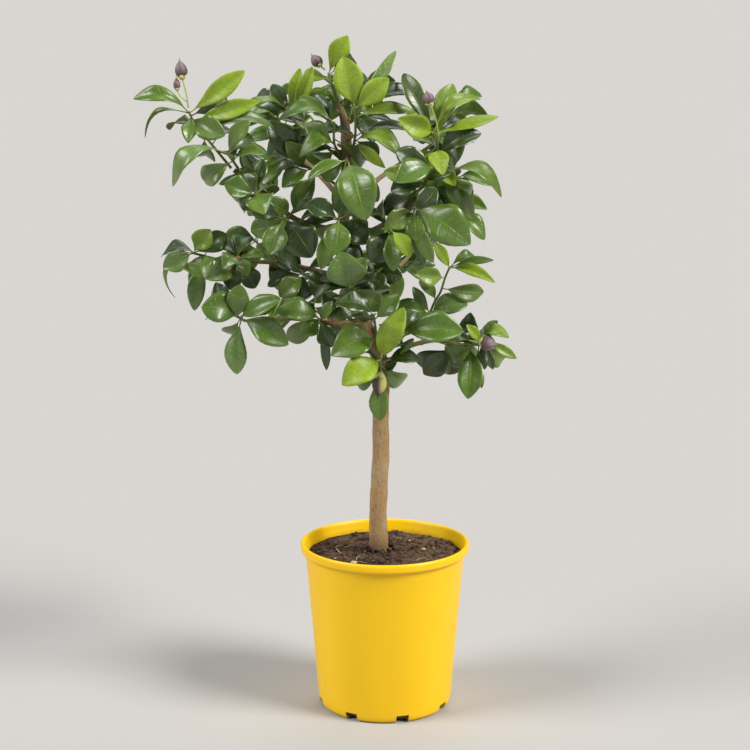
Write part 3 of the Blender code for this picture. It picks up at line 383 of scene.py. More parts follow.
def makePlastic():
    look = Look("satinYellowPlastic", plasticLook["roughness"], Coat_Weight=0.05, Coat_Roughness=0.3,
                Specular_IOR_Level=0.38)
    patches, grain = look.mottled(9.0, 900.0)
    splash = look.mottled(120.0, 900.0)[0]
    x, y, z = look.axes()
    color = look.mix(look.ramp(patches, 0.35, 0.75, 0.0, 0.35), plasticLook["color"], plasticLook["shade"])
    radius = look.math("SQRT", look.plus(look.times(x, x), look.times(y, y)))
    wall = look.math("MULTIPLY_ADD", z, plasticLook["wallSlope"], plasticLook["wallFoot"])
    inside = look.math("LESS_THAN", radius, wall)
    level = look.plus(z, look.times(splash, -0.010))
    line = plasticLook["soilLine"]
    stain = look.times(inside, look.ramp(level, line - 0.003, line - 0.009, 0.0, 0.3))
    foot = look.times(look.ramp(z, 0.010, 0.0, 0.0, 0.30), look.ramp(splash, 0.45, 0.65))
    color = look.mix(look.math("MAXIMUM", stain, foot), color, plasticLook["dust"])
    roughness = look.ramp(look.plus(patches, stain), 0.2, 1.2, 0.33, 0.62)
    return look.finish(color, roughness, grain, 0.10, 0.0002)


soilLook = {
    "dark": (0.018, 0.010, 0.007), "light": (0.115, 0.068, 0.046), "dry": (0.24, 0.155, 0.095),
    "paleRightward": (0.155, 0.100, 0.055),
}


def makeSoilLook():
    look = Look("crumblyPottingSoil", 0.95, Specular_IOR_Level=0.25)
    patches, grain = look.mottled(75.0, 700.0)
    color = look.mix(look.ramp(patches, 0.30, 0.70), soilLook["dark"], soilLook["light"])
    # the soil is mixed towards a paler brown, in patches, on its right side
    paleRightward = look.times(look.ramp(look.axes()[0], -0.01, 0.045, 0.0, 0.55), look.ramp(
        patches, 0.25, 0.6, 0.4, 1.0))
    color = look.mix(paleRightward, color, soilLook["paleRightward"])
    color = look.mix(look.ramp(grain, 0.52, 0.72, 0.0, 0.7), color, soilLook["dry"])
    return look.finish(color, look.ramp(grain, 0.2, 0.8, 0.75, 1.0), grain, 0.9, 0.0012)


barkLook = {
    "low": (0.40, 0.255, 0.115), "high": (0.26, 0.185, 0.088), "crack": (0.15, 0.092, 0.045),
    "grey": (0.46, 0.37, 0.25), "green": (0.085, 0.135, 0.022),
}


def makeBark():
    look = Look("lemonBark", 0.8, Specular_IOR_Level=0.3)
    patches, grain = look.mottled(55.0, 620.0)
    fibre = look.noise(look.place(1.0, 1.0, 0.3), 620.0, 4.0, 0.7)
    specks = look.add("ShaderNodeTexVoronoi", Vector=look.place(1.0, 1.0, 0.6), Scale=620.0)[0]
    creases = look.noise(look.place(0.35, 0.35, 1.0), 300.0, 2.0)
    height = look.axes()[2]
    color = look.mix(look.ramp(height, 0.40, 0.56), barkLook["low"], barkLook["high"])
    color = look.mix(look.ramp(patches, 0.42, 0.75, 0.0, 0.55), color, barkLook["grey"])
    for mask in (look.ramp(fibre, 0.50, 0.34, 0.0, 0.6), look.ramp(specks, 0.20, 0.05, 0.0, 0.5),
                 look.ramp(creases, 0.62, 0.74, 0.0, 0.45)):
        color = look.mix(mask, color, barkLook["crack"])
    foot = look.times(look.ramp(height, 0.213, 0.188), look.ramp(patches, 0.2, 0.7, 0.6, 1.0))
    color = look.mix(look.times(foot, 0.9), color, soilLook["light"])
    color = look.mix(look.attribute("barkGreen")["Fac"], color, barkLook["green"])
    relief = look.plus(fibre, look.times(look.ramp(specks, 0.0, 0.2), 0.35))
    relief = look.plus(relief, look.times(grain, 0.5))
    return look.finish(color, look.ramp(grain, 0.2, 0.8, 0.62, 0.95), relief, 0.75, 0.0009)


# dark is the green of leaves in shade: partly painted shade and partly an old leaf's deeper green
leafLook = {
    "dark": (0.014, 0.038, 0.003), "mature": (0.066, 0.150, 0.004), "young": (0.225, 0.345, 0.014),
    "pale": (0.15, 0.25, 0.07), "under": (0.12, 0.20, 0.035), "vein": (0.28, 0.40, 0.06),
    # deep darkens the lateral veins: painted shade in their grooves
    "deep": (0.45, 0.55, 0.45), "veinPairs": 8.0,
}


def makeLeaf():
    look = Look("lemonLeaf", 0.4, Coat_Roughness=0.33, Specular_IOR_Level=0.5)
    across, along, under = look.channels("leafPlace")
    youth, pale, dark = look.channels("leafTone")
    patches, grain = look.mottled(70.0, 1100.0)
    side = look.math("ABSOLUTE", look.math("SUBTRACT", look.times(across, 2.0), 1.0))
    phase = look.math("SUBTRACT", along, look.times(side, 0.13))
    phase = look.plus(look.times(phase, leafLook["veinPairs"]), look.times(patches, 0.9))
    phase = look.plus(phase, look.times(look.math("GREATER_THAN", across, 0.5), 0.45))
    wave = look.math("PINGPONG", phase, 0.5)
    veins = look.times(look.ramp(wave, 0.10, 0.0), look.ramp(side, 0.95, 0.55))
    midrib = look.ramp(side, 0.055, 0.012)

    # painted shade: the darkness channel mixes a leaf towards the dark green, which is partly its own deeper
    # green
    color = look.mix(dark, leafLook["mature"], leafLook["dark"])
    color = look.mix(youth, color, leafLook["young"])
    color = look.mix(pale, color, leafLook["pale"])
    shade = look.add("ShaderNodeHueSaturation", Color=color, Hue=0.487, Saturation=1.05, Value=1.45)[0]
    color = look.mix(look.ramp(patches, 0.35, 0.75, 0.0, 0.6), color, shade)
    lines = look.times(midrib, look.ramp(youth, 0.0, 0.8, 0.25, 0.70))
    lines = look.math("MAXIMUM", lines, look.times(look.ramp(side, 0.93, 0.99), 0.30))
    # the lateral veins are painted darker, strongest on mature leaves: painted shade in their grooves
    deep = look.mix(1.0, color, leafLook["deep"], "MULTIPLY")
    color = look.mix(look.times(veins, look.ramp(youth, 0.1, 0.8, 0.55, 0.12)), color, deep)
    color = look.mix(lines, color, leafLook["vein"])
    below = look.mix(look.times(youth, 0.6), leafLook["under"], leafLook["young"])
    # the underside of a dark leaf is darker too, the same partly painted shade
    below = look.mix(look.times(dark, 0.55), below, leafLook["mature"])
    color = look.mix(look.times(under, 0.75), color, below)

    gloss = look.plus(look.times(youth, 0.13), look.times(under, 0.25))
    gloss = look.plus(gloss, look.ramp(patches, 0.3, 0.8, 0.36, 0.46))
    coat = look.times(look.math("SUBTRACT", 1.0, under), look.ramp(youth, 0.1, 0.9, 0.75, 0.15))
    look.feed(look.inputs["Coat Weight"], coat)
    relief = look.times(look.math("MAXIMUM", veins, midrib), -1.0)
    relief = look.plus(look.plus(relief, look.times(patches, 0.55)), look.times(grain, 0.06))
    return look.finish(color, gloss, relief, 0.6, 0.0005)


# dark darkens the stalks of dark leaves, carrying part of their painted shade
shootLook = {
    "old": (0.10, 0.16, 0.03), "young": (0.50, 0.58, 0.11), "dark": (0.055, 0.06, 0.022),
    "brown": (0.20, 0.17, 0.07),
}


def makeShoot():
    look = Look("greenShoot", 0.45)
    youth, _, dark = look.channels("leafTone")
    patches, grain = look.mottled(160.0, 1500.0)
    color = look.mix(youth, shootLook["old"], shootLook["young"])
    # the stalks of dark leaves take on part of their painted shade, and every twig is a little darker
    color = look.mix(look.times(dark, 0.6), color, shootLook["dark"])
    color = look.mix(look.ramp(patches, 0.5, 0.8, 0.0, 0.4), color, shootLook["brown"])
    return look.finish(color, look.ramp(patches, 0.2, 0.8, 0.38, 0.58), grain, 0.3, 0.0003)


budLook = {
    "purple": (0.20, 0.125, 0.135), "dusty": (0.44, 0.35, 0.35), "deep": (0.060, 0.032, 0.036),
    "green": (0.56, 0.58, 0.19), "pink": (0.62, 0.17, 0.17),
}


def makeBudLook():
    look = Look("duskyBud", 0.55)
    height, seam, green = look.channels("budPlace")
    patches, grain = look.mottled(260.0, 1800.0)
    color = look.mix(look.ramp(patches, 0.35, 0.7), budLook["deep"], budLook["purple"])
    dusty = look.times(look.ramp(height, 0.1, 0.95, 0.10, 0.75), look.ramp(grain, 0.35, 0.65, 0.35, 1.0))
    color = look.mix(dusty, color, budLook["dusty"])
    color = look.mix(look.times(seam, 0.7), color, budLook["deep"])
    pink = look.math("SUBTRACT", 1.0, look.attribute("budPlace")["Alpha"])
    color = look.mix(pink, color, budLook["pink"])
    color = look.mix(green, color, budLook["green"])
    return look.finish(color, look.ramp(grain, 0.2, 0.8, 0.42, 0.68), grain, 0.35, 0.0004)


def makePlain(name, color, second, roughness):
    look = Look(name, roughness)
    patches, grain = look.mottled(210.0, 1500.0)
    color = look.mix(look.ramp(patches, 0.3, 0.7), color, second)
    rough = look.ramp(grain, 0.2, 0.8, roughness - 0.1, roughness + 0.1)
    return look.finish(color, rough, grain, 0.4, 0.0003)


plastic, soilMaterial, bark = makePlastic(), makeSoilLook(), makeBark()
leafMaterial, shoot, budMaterial = makeLeaf(), makeShoot(), makeBudLook()
rootMaterial = makePlain("paleRoot", (0.42, 0.31, 0.17), (0.62, 0.50, 0.32), 0.7)
cutWood = makePlain("dryCutWood", (0.42, 0.30, 0.17), (0.17, 0.10, 0.055), 0.8)
print("materials made")


# mesh tools
def linked(name, data):
    obj = bpy.data.objects.new(name, data)
    bpy.context.scene.collection.objects.link(obj)
    return obj


def meshOf(name, bm, *materials):
    mesh = bpy.data.meshes.new(name)
    bm.to_mesh(mesh)
    bm.free()
    for material in materials:
        mesh.materials.append(material)
    return mesh


def finishPiece(name, bm, materials, slotName, *nodes):
    mesh = meshOf(name, bm, *materials)
    mesh.polygons.foreach_set("use_smooth", [True] * len(mesh.polygons))
    obj = linked(name, mesh)
    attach(obj, "root")
    if nodes:
        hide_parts(*nodes)
    return obj


def smoothRoute(points, radii, steps):
    # rounds the corners of a route of points, with its radii, by Catmull and Rom's curve
    places, sizes = [], []
    last = len(points) - 1
    for i in range(last):
        a, b, c, d = (points[max(i - 1, 0)], points[i], points[i + 1], points[min(i + 2, last)])
        for k in range(steps):
            t = k / steps
            places.append(0.5 * (2 * b + (c - a) * t + (2 * a - 5 * b + 4 * c - d) * t * t
                                 + (3 * b - a - 3 * c + d) * t ** 3))
            sizes.append(radii[i] + (radii[i + 1] - radii[i]) * t)
    return places + [points[-1]], sizes + [radii[-1]]


def addTube(bm, points, radii, sides, material=0, wobble=None):
    # a closed tube: a round cap, extruded from place to place
    made = bmesh.ops.create_circle(bm, cap_ends=True, segments=sides, radius=1.0)["verts"]
    cap = made[0].link_faces[0]
    base = list(cap.verts)
    verts = []
    across = None
    for i, (point, radius) in enumerate(zip(points, radii)):
        ahead = (points[min(i + 1, len(points) - 1)] - points[max(i - 1, 0)]).normalized()
        if across is None:
            across = ahead.orthogonal()
        across = (across - ahead * across.dot(ahead)).normalized()
        second = ahead.cross(across)
        if i:
            cap = bmesh.ops.extrude_discrete_faces(bm, faces=[cap])["faces"][0]
        for k, vert in enumerate(cap.verts):
            angle = 2 * math.pi * k / sides
            out = across * math.cos(angle) + second * math.sin(angle)
            vert.co = point + out * (radius + (wobble(point, angle) if wobble else 0.0))
        verts += list(cap.verts)
    bm.faces.new(list(reversed(base)))
    faces = list({face for vert in verts for face in vert.link_faces})
    for face in faces:
        face.material_index = material
    bmesh.ops.recalc_face_normals(bm, faces=faces)
    return verts


def spunPiece(profile, steps):
    bm = bmesh.new()
    verts = [bm.verts.new((radius * mm, 0.0, height * mm)) for radius, height in profile]
    edges = [bm.edges.new(pair) for pair in zip(verts, verts[1:])]
    bmesh.ops.spin(bm, geom=verts + edges, cent=(0, 0, 0), axis=(0, 0, 1), dvec=(0, 0, 0),
                   angle=2 * math.pi, steps=steps, use_merge=True, use_duplicate=False)
    bmesh.ops.remove_doubles(bm, verts=bm.verts, dist=0.000005)
    bmesh.ops.recalc_face_normals(bm, faces=bm.faces)
    return bm


pot = {
    "height": 198.0, "rimRadius": 100.0, "lipRadius": 94.5, "rimBand": 10.0, "wallTop": 94.4,
    "wallFoot": 78.9, "footContact": 74.0, "wall": 2.2, "floor": 2.5, "steps": 192,
    "notches": 8, "notchWidth": 15.0, "notchHeight": 9.5, "notchDepth": 12.0,
    "firstNotch": math.radians(-90.0 + 15.4), "edgeRound": 0.5, "notchAngle": 50, "creaseAngle": 38,
}


def wallRadius(height):
    return pot["wallFoot"] + (pot["wallTop"] - pot["wallFoot"]) * height / (pot["height"] - pot["rimBand"])


def potProfile():
    # from the middle of the floor up inside, over the rim and down to the middle of the foot
    top, lip, rim, wall, contact = (pot[key] for key in (
        "height", "lipRadius", "rimRadius", "wall", "footContact"))
    under = top - pot["rimBand"]
    return [
        (0, pot["floor"]), (contact - 1.5, pot["floor"]), (wallRadius(6) - wall, 6),
        *((wallRadius(z) - wall, z) for z in (60, 120, 160, under - 3)),
        (wallRadius(under) - wall + 0.3, under), (lip - 0.4, top - 5), (lip, top - 3),
        (lip + 0.7, top - 1.3), (lip + 1.6, top - 0.4), (lip + 2.8, top), (rim - 1.6, top - 0.15),
        (rim - 0.6, top - 0.8), (rim - 0.1, top - 2), (rim, top - 3.4), (rim, under + 2.2),
        (rim - 0.3, under + 0.9), (rim - 1.1, under + 0.1), (wallRadius(under) + 1.2, under - 0.3),
        (wallRadius(under) + 0.3, under - 0.9), (wallRadius(under - 3), under - 3),
        *((wallRadius(z), z) for z in (150, 110, 70, 30, 10)),
        (wallRadius(6) - 0.15, 6), (wallRadius(3.5) - 0.7, 3.5), (wallRadius(2) - 1.7, 1.7),
        (contact + 1.6, 0.4), (contact, 0), (0, 0),
    ]


def sharpEdges(bm, angle):
    return [edge for edge in bm.edges if len(edge.link_faces) == 2
            and edge.calc_face_angle() > math.radians(angle)]


def makePot():
    shell = finishPiece("potShell", spunPiece(potProfile(), pot["steps"]), [plastic], "yellow_plastic", "pot")
    cutters = bmesh.new()
    low, high = pot["footContact"] - pot["notchDepth"], pot["wallTop"]
    for i in range(pot["notches"]):
        angle = pot["firstNotch"] + i * 2 * math.pi / pot["notches"]
        turn = Matrix.Rotation(angle, 4, "Z") @ Matrix.Translation(((low + high) / 2 * mm, 0, 0))
        size = Matrix.Diagonal(Vector((high - low, pot["notchWidth"], 2 * pot["notchHeight"], 1)) * mm)
        size[3][3] = 1.0
        bmesh.ops.create_cube(cutters, size=1.0, matrix=turn @ size)
    cutter = linked("notchCutters", meshOf("notchCutters", cutters))
    cut = shell.modifiers.new("notches", "BOOLEAN")
    cut.operation, cut.solver, cut.object = "DIFFERENCE", "EXACT", cutter
    bpy.context.view_layer.update()
    graph = bpy.context.evaluated_depsgraph_get()
    notched = bpy.data.meshes.new_from_object(shell.evaluated_get(graph))
    shell.modifiers.clear()
    shell.data = notched
    bpy.data.objects.remove(cutter, do_unlink=True)
    bm = bmesh.new()
    bm.from_mesh(notched)
    bm.normal_update()
    notchEdges = [edge for edge in sharpEdges(bm, pot["notchAngle"])
                  if max(vert.co.z for vert in edge.verts) < (pot["notchHeight"] + 0.3) * mm]
    bmesh.ops.bevel(bm, geom=notchEdges, offset=pot["edgeRound"] * mm, offset_type="OFFSET", segments=2,
                    profile=0.5, affect="EDGES", material=-1, clamp_overlap=True)
    for face in bm.faces:
        face.smooth = True
    for edge in sharpEdges(bm, pot["creaseAngle"]):
        edge.smooth = False
    bm.to_mesh(notched)
    bm.free()


makePot()
print("pot made")

soil = {
    "level": 183.0, "heap": 4.0, "rings": 44, "steps": 132, "clods": 1500, "bigClods": 210, "batch": 120,
    "clodSize": (0.8, 2.4), "bigClodSize": (2.4, 4.6), "bumps": 0.38, "sunk": (-0.1, 0.45),
    "roughSide": (-0.3, 1.9), "trunkX": -6.0, "trunkRadius": 13.0, "heaped": (0.2, 5.0), "everyHeaped": 9,
    # place, heading, length
    "roots": [(-34, -46, 86, 48), (-58, 4, -62, 36), (-36, -46, 200, 12), (-12, -40, 175, 26),
              (34, -30, 60, 18), (60, 10, 100, 16), (-60, 20, 10, 20), (20, 50, 140, 18)],
    "rootPoints": 9, "rootRadius": 0.42, "rootTurn": 24,
    # place, size
    "chips": [(-36, -48, 3.0), (46, 5, 2.3), (-33, -43, 1.8), (20, -62, 1.3), (-58, -30, 1.2), (30, 40, 1.5)],
}


def soilHeight(x, y):
    radius = math.hypot(x, y)
    base = soil["level"] + soil["heap"] * max(0.0, 1 - radius / 52.0) ** 1.5
    rough = noise.fractal(Vector((x, y, 3.0)) * 0.055, 1.0, 2.0, 4) * 2.2
    fine = noise.noise(Vector((x, y, 9.0)) * 0.45) * 0.9
    return base + (rough + fine) * min(1.0, (93 - radius) / 12.0 + 0.35)


def addClod(bm, i, edge):
    big = i < soil["bigClods"]
    size = random.uniform(*soil["bigClodSize" if big else "clodSize"]) * mm
    angle, share = random.uniform(0, 2 * math.pi), math.sqrt(random.random())
    if big:
        share, angle = max(share, random.random()), angle if i % 3 else random.uniform(*soil["roughSide"])
    radius = share * (edge * mm - size * 1.2)
    x, y = radius * math.cos(angle), radius * math.sin(angle)
    rise = random.uniform(*soil["sunk"])
    trunkX, trunkRadius = soil["trunkX"] * mm, soil["trunkRadius"] * mm
    if math.hypot(x - trunkX, y) < trunkRadius or not i % soil["everyHeaped"]:
        reach = 0.95 + 0.6 * random.random() ** 2  # these lie heaped against the trunk
        radius, rise = trunkRadius * reach, random.uniform(*soil["heaped"]) * (1.6 - reach)
        x, y = trunkX + radius * math.cos(angle), radius * math.sin(angle)
    place = Vector((x, y, soilHeight(x / mm, y / mm) * mm + size * rise))
    clod = bmesh.ops.create_icosphere(bm, subdivisions=2 if big else 1, radius=size)["verts"]
    stretch = Vector((random.uniform(0.75, 1.25), random.uniform(0.75, 1.25), random.uniform(0.6, 0.9)))
    turn = Matrix.Rotation(random.uniform(0, math.pi), 3, "Z")
    for vert in clod:
        bumpy = 1 + soil["bumps"] * noise.noise(vert.co / size * 1.3 + Vector((i * 3.7, 0, 0)))
        vert.co = turn @ (vert.co * stretch) * bumpy + place


def makeSoil():
    edge = wallRadius(soil["level"]) - pot["wall"] - 0.3
    top = [(edge * (i / soil["rings"]) ** 0.85, soil["level"]) for i in range(soil["rings"] + 1)]
    below = [(edge - 0.4, 176), (wallRadius(6) - pot["wall"] - 0.4, 6.5),
             (pot["footContact"] - 2.2, 2.9), (0, 2.9)]
    bm = spunPiece(top + below, soil["steps"])
    for vert in bm.verts:
        if vert.co.z > 0.180:
            vert.co.z = soilHeight(vert.co.x / mm, vert.co.y / mm) * mm
    bmesh.ops.recalc_face_normals(bm, faces=bm.faces)
    # clods are made in batches, which is quicker than adding each to the whole
    batch, heap = bmesh.new(), bpy.data.meshes.new("clodBatch")
    count = soil["clods"] + soil["bigClods"]
    for i in range(count):
        addClod(batch, i, edge)
        if i % soil["batch"] == soil["batch"] - 1 or i == count - 1:
            batch.to_mesh(heap)
            bm.from_mesh(heap)
            batch.clear()
    batch.free()
    bpy.data.meshes.remove(heap)
    finishPiece("soilSurface", bm, [soilMaterial], "potting_soil", "soil")

    bm = bmesh.new()
    for i, (x, y, heading, length) in enumerate(soil["roots"]):
        points = []
        for k in range(soil["rootPoints"]):
            points.append(Vector((x, y, soilHeight(x, y) + 1.6 + 1.4 * math.sin(k * 0.8 + i))) * mm)
            heading += random.uniform(-soil["rootTurn"], soil["rootTurn"])
            x += math.cos(math.radians(heading)) * length / 8
            y += math.sin(math.radians(heading)) * length / 8
        addTube(bm, points, [soil["rootRadius"] * mm * (1 - 0.07 * k) for k in range(len(points))], 6)
    for x, y, size in soil["chips"]:
        place = Vector((x, y, soilHeight(x, y) + 2.2)) * mm
        for vert in bmesh.ops.create_icosphere(bm, subdivisions=2, radius=size * mm)["verts"]:
            rough = 1 + 0.4 * noise.noise(vert.co / mm * 0.6 + Vector((x, y, 0)))
            vert.co = vert.co * Vector((1.3, 1.0, 0.7)) * rough + place
    finishPiece("soilRoots", bm, [rootMaterial], "potting_soil")


makeSoil()
print("soil made")

wood = {
    "trunkSides": 36, "trunkSteps": 14, "branchSides": 14, "branchSteps": 8, "greenFrom": 3.0,
    # height, side, swell
    "knots": [(316, 0.2, 1.9), (291, 3.0, 1.1), (253, 4.6, 1.0), (352, 5.2, 0.9), (226, 1.2, 0.8),
              (440, 4.4, 1.6), (640, 4.7, 1.5), (658, 0.3, 1.6), (672, 3.0, 1.6), (690, 4.5, 1.4)],
    # place, where it points, radius
    "stubs": [(-47, 0, 640, -9, -7, 5, 2.0), (-44, 0, 652, 9, -8, 3, 1.9), (-45, 0, 661, -9, -6, 4, 1.9),
              (-44, 0, 670, 8, -8, 5, 2.1), (-45, 0, 681, -7, -6, 4, 1.8), (-47, 0, 688, 7, -5, 6, 1.6),
              (-50, 0, 699, -6, -5, 5, 1.5), (-53, 0, 708, 5, -4, 6, 1.3), (-45, -1, 676, 1, -8, 4, 1.9),
              (-36, 0, 498, -9, -10, 9, 2.6), (-50, 0, 545, 7, -10, 5, 1.8), (-45, 0, 625, 9, -7, 5, 1.6),
              (-20, 0, 452, 9, -9, 5, 1.9)],
}


def barkWobble(size, rough):
    def wobble(point, angle):
        height, x, y = point.z / mm, math.cos(angle), math.sin(angle)
        wave = noise.noise(Vector((x * 1.6, y * 1.6, height * 0.045))) * size
        wave += noise.noise(Vector((x * 5.5, y * 5.5, height * 0.10))) * size * rough
        for middle, side, swell in wood["knots"]:
            near = math.exp(-((height - middle) / 5.0) ** 2) * max(0.0, math.cos(angle - side)) ** 6
            wave += swell * near
        return wave * mm
    return wobble


def makeWood():
    points = [seen(x, y, z) for x, y, z, _ in trunkRoute]
    radii = [radius * mm for *_, radius in trunkRoute]
    route, sizes = smoothRoute(points[1:], radii[1:], wood["trunkSteps"])
    bm = bmesh.new()
    bm.verts.layers.float.new("barkGreen")
    addTube(bm, points[:1] + route, radii[:1] + sizes, wood["trunkSides"], wobble=barkWobble(0.75, 0.55))
    finishPiece("trunkWood", bm, [bark], "bark", "trunk")
    sides = wood["branchSides"]
    for name, rows in branchRoutes.items():
        points = [seen(x, y, z) for x, y, z, _ in rows]
        back = (points[0] - points[1]).normalized() * 7 * mm  # its foot goes into the trunk
        route, sizes = smoothRoute([points[0] + back] + points, [rows[0][3] * 1.15 * mm]
                                   + [row[3] * mm for row in rows], wood["branchSteps"])
        bm = bmesh.new()
        layer = bm.verts.layers.float.new("barkGreen")
        for i, vert in enumerate(addTube(bm, route, sizes, sides, wobble=barkWobble(0.32, 0.5))):
            vert[layer] = min(0.85, max(0.0, wood["greenFrom"] - sizes[i // sides] / mm))
        finishPiece("branchWood_" + name, bm, [bark], "bark", "branch_" + name)
    bm = bmesh.new()
    for x, y, z, dx, dy, rise, radius in wood["stubs"]:
        start = seen(x, y, z)
        end = start + Vector((dx, dy, rise)) * mm
        points = [start.lerp(end, t) for t in (0, 0.5, 0.8, 1.0)]
        radii = [radius * s * mm for s in (1.5, 1.15, 1.0, 0.75)]
        addTube(bm, points, radii, 10, wobble=barkWobble(0.3, 0.6))
    finishPiece("prunedStubs", bm, [cutWood], "bark")


makeWood()
print("trunk and branches made")

leafShape = {
    "rings": 22, "columns": 6, "stalkShare": 0.12, "thickness": 0.45, "edge": 0.35,
    "crenation": 0.022, "stalkRadius": 0.75, "stalkSides": 6, "tipFrom": 0.7,
    # the ranges that each leaf's own shape is drawn from
    "skew": (1.16, 1.42), "fullness": (0.66, 0.90), "fold": (14.0, 36.0), "curl": (0.05, 0.35),
    "twist": (-35, 35), "sway": (-0.06, 0.06), "waves": (1.0, 2.2), "waveSize": (0.04, 0.10),
    "phase": (0, 6.28), "tipCurl": (-0.05, 0.20),
    # along the midrib, and its radius there as a share of the stalk's
    "midrib": [(0.0, 1.35), (0.05, 1.0), (0.1, 0.95), (0.16, 0.8), (0.25, 0.62), (0.36, 0.52), (0.48, 0.43),
               (0.6, 0.35), (0.72, 0.27), (0.84, 0.18)],
    "twigRadius": 1.35, "twigSides": 8, "twigOverrun": 1.5, "depthStep": 7.0, "depthTries": 7,
}


def drawn(key):
    return random.uniform(*leafShape[key])


class Blade:
    # where the points of one leaf lie between its base and its tip
    def __init__(self, base, tip, width, turn, bow, youth):
        self.base, self.width = base, width
        self.skew = drawn("skew") - 0.12 * youth
        self.fullness = drawn("fullness") + 0.05 * youth
        self.along = tip - base
        self.length = self.along.length
        self.along.normalize()
        facing = Vector((0.0, -math.sin(math.radians(turn)), math.cos(math.radians(turn))))
        self.facing = (facing - self.along * facing.dot(self.along)).normalized()
        self.side = self.along.cross(self.facing)
        self.bow = bow
        self.fold = math.sin(math.radians(drawn("fold")))
        self.curl = drawn("curl")
        self.twist = math.radians(drawn("twist"))
        self.sway, self.waves, self.waveSize = drawn("sway"), drawn("waves"), drawn("waveSize")
        self.phase, self.tipCurl = drawn("phase"), drawn("tipCurl")

    def halfWidth(self, share):
        blade = min(1.0, max(0.0, (share - leafShape["stalkShare"]) / (1 - leafShape["stalkShare"])))
        body = max(0.0, math.sin(math.pi * blade ** self.skew)) ** self.fullness
        return body * self.width / 2 + leafShape["edge"]

    def at(self, across, share, tooth=0.0):
        half = self.halfWidth(share) * (1 - tooth) * mm
        rise = 4 * self.bow * self.length * share * (1 - share)
        pastBend = max(0.0, share - leafShape["tipFrom"])
        rise -= self.tipCurl * self.length * pastBend ** 2 * 6 * (1 - share) / (1 - leafShape["tipFrom"])
        ease = math.sin(math.pi * share)
        lift = abs(across) * half * self.fold - across * across * half * self.curl * 0.6
        lift += across * across * self.waveSize * self.width * mm * ease * math.sin(
            self.waves * 2 * math.pi * share + self.phase + (1.1 if across > 0 else 0.0))
        turn = self.twist * ease * (share - 0.35)
        sideways = across * half * math.cos(turn) - lift * math.sin(turn) + self.sway * self.length * ease
        lift = lift * math.cos(turn) + across * half * math.sin(turn)
        return (self.base + self.along * (self.length * share) + self.side * sideways
                + self.facing * (rise + lift))


def addBlade(bm, blade, tone, places, tones, facings):
    rings, stalk = leafShape["rings"], leafShape["stalkShare"] * 0.8
    grid = bmesh.ops.create_grid(bm, x_segments=leafShape["columns"], y_segments=rings, size=1.0)
    for vert in grid["verts"]:
        across, t = vert.co.x, (vert.co.y + 1) / 2
        share = stalk + (1 - stalk) * (0.55 * t + 0.45 * (1 - math.cos(math.pi * t)) / 2)
        ring = round(t * rings)
        toothed = abs(across) > 0.99 and ring % 2 and 1 < ring < rings - 1
        vert[places] = (across / 2 + 0.5, share, 0.0, 1.0)
        vert[tones] = (*tone, 1.0)
        vert[facings] = blade.facing
        if ring == rings:
            across, share = 0.0, 1.0
        vert.co = blade.at(across, share, leafShape["crenation"] if toothed else 0.0)


def addStalk(bm, blade, tone, tones):
    # the stalk goes on under the blade as its midrib
    size = leafShape["stalkRadius"]
    sizes = [size * thick * mm for _, thick in leafShape["midrib"]]
    points = [blade.at(0.0, share) - blade.facing * (0.75 * size * thick * mm)
              for share, thick in leafShape["midrib"]]
    points[0] = blade.base
    for vert in addTube(bm, points, sizes, leafShape["stalkSides"], 1):
        # the stalk takes half the leaf's darkness, and so half of its painted shade
        vert[tones] = (min(1.0, tone[0] + 0.25), tone[1], tone[2] * 0.5, 1.0)


def keptTip(row, tree):
    # the depth at which the CAD model has this leaf's tip, or None if it has no such leaf
    across, depth, up = row[1:4]
    for i in range(2 * leafShape["depthTries"] + 1):
        step = (i + 1) // 2 * leafShape["depthStep"] * (-1 if i % 2 else 1)
        tip = seen(across, depth + step, up)
        if tree.find(tip)[2] < 0.05 * mm:
            return tip
    return None


def vertexTree(node):
    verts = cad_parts[node].data.vertices
    tree = KDTree(len(verts))
    for i, vert in enumerate(verts):
        tree.insert(vert.co, i)
    tree.balance()
    return tree


def makeSprig(name, points, rows, letters):
    # returns how many leaves it made, and how many have no place in the CAD model
    tree = vertexTree("sprig_" + name)
    bm = bmesh.new()
    places = bm.verts.layers.float_color.new("leafPlace")
    tones = bm.verts.layers.float_color.new("leafTone")
    facings = bm.verts.layers.float_vector.new("leafFacing")
    blades = []
    for row, letter in zip(rows, letters):
        tip = keptTip(row, tree)
        if tip is None:
            continue
        values = [min(1.0, max(0.0, value + random.uniform(-0.07, 0.07))) for value in toneValues[letter]]
        blade = Blade(alongRoute(points, row[0]), tip, *row[4:], values[0])
        addBlade(bm, blade, values, places, tones, facings)
        blades.append((blade, values))
    bmesh.ops.remove_doubles(bm, verts=bm.verts, dist=0.000002)
    bmesh.ops.solidify(bm, geom=bm.faces[:], thickness=leafShape["thickness"] * mm)
    bmesh.ops.recalc_face_normals(bm, faces=bm.faces)
    bm.normal_update()
    for vert in bm.verts:
        under = 1.0 if vert.normal.dot(vert[facings]) < 0 else 0.0
        vert[places] = (*vert[places][:2], under, 1.0)
    for blade, values in blades:
        addStalk(bm, blade, values, tones)
    sizes = [leafShape["twigRadius"] * mm * (1.2 - 0.4 * i / len(points)) for i in range(len(points))]
    end = (points[-1] - points[-2]).normalized() * leafShape["twigOverrun"] * mm
    back = (points[0] - points[1]).normalized() * 4 * mm
    route, radii = smoothRoute([points[0] + back] + points + [points[-1] + end],
                               [sizes[0] * 1.2] + sizes + [sizes[-1] * 0.5], 5)
    youth = sum(values[0] for _, values in blades) / max(1, len(blades))
    for vert in addTube(bm, route, radii, leafShape["twigSides"], 1):
        vert[tones] = (youth * 0.7, 0.0, 0.45, 1.0)
    bm.verts.layers.float_vector.remove(facings)
    finishPiece("foliage_" + name, bm, [leafMaterial, shoot], "leaf", "sprig_" + name)
    return len(blades), min(len(rows), len(letters)) - len(blades)


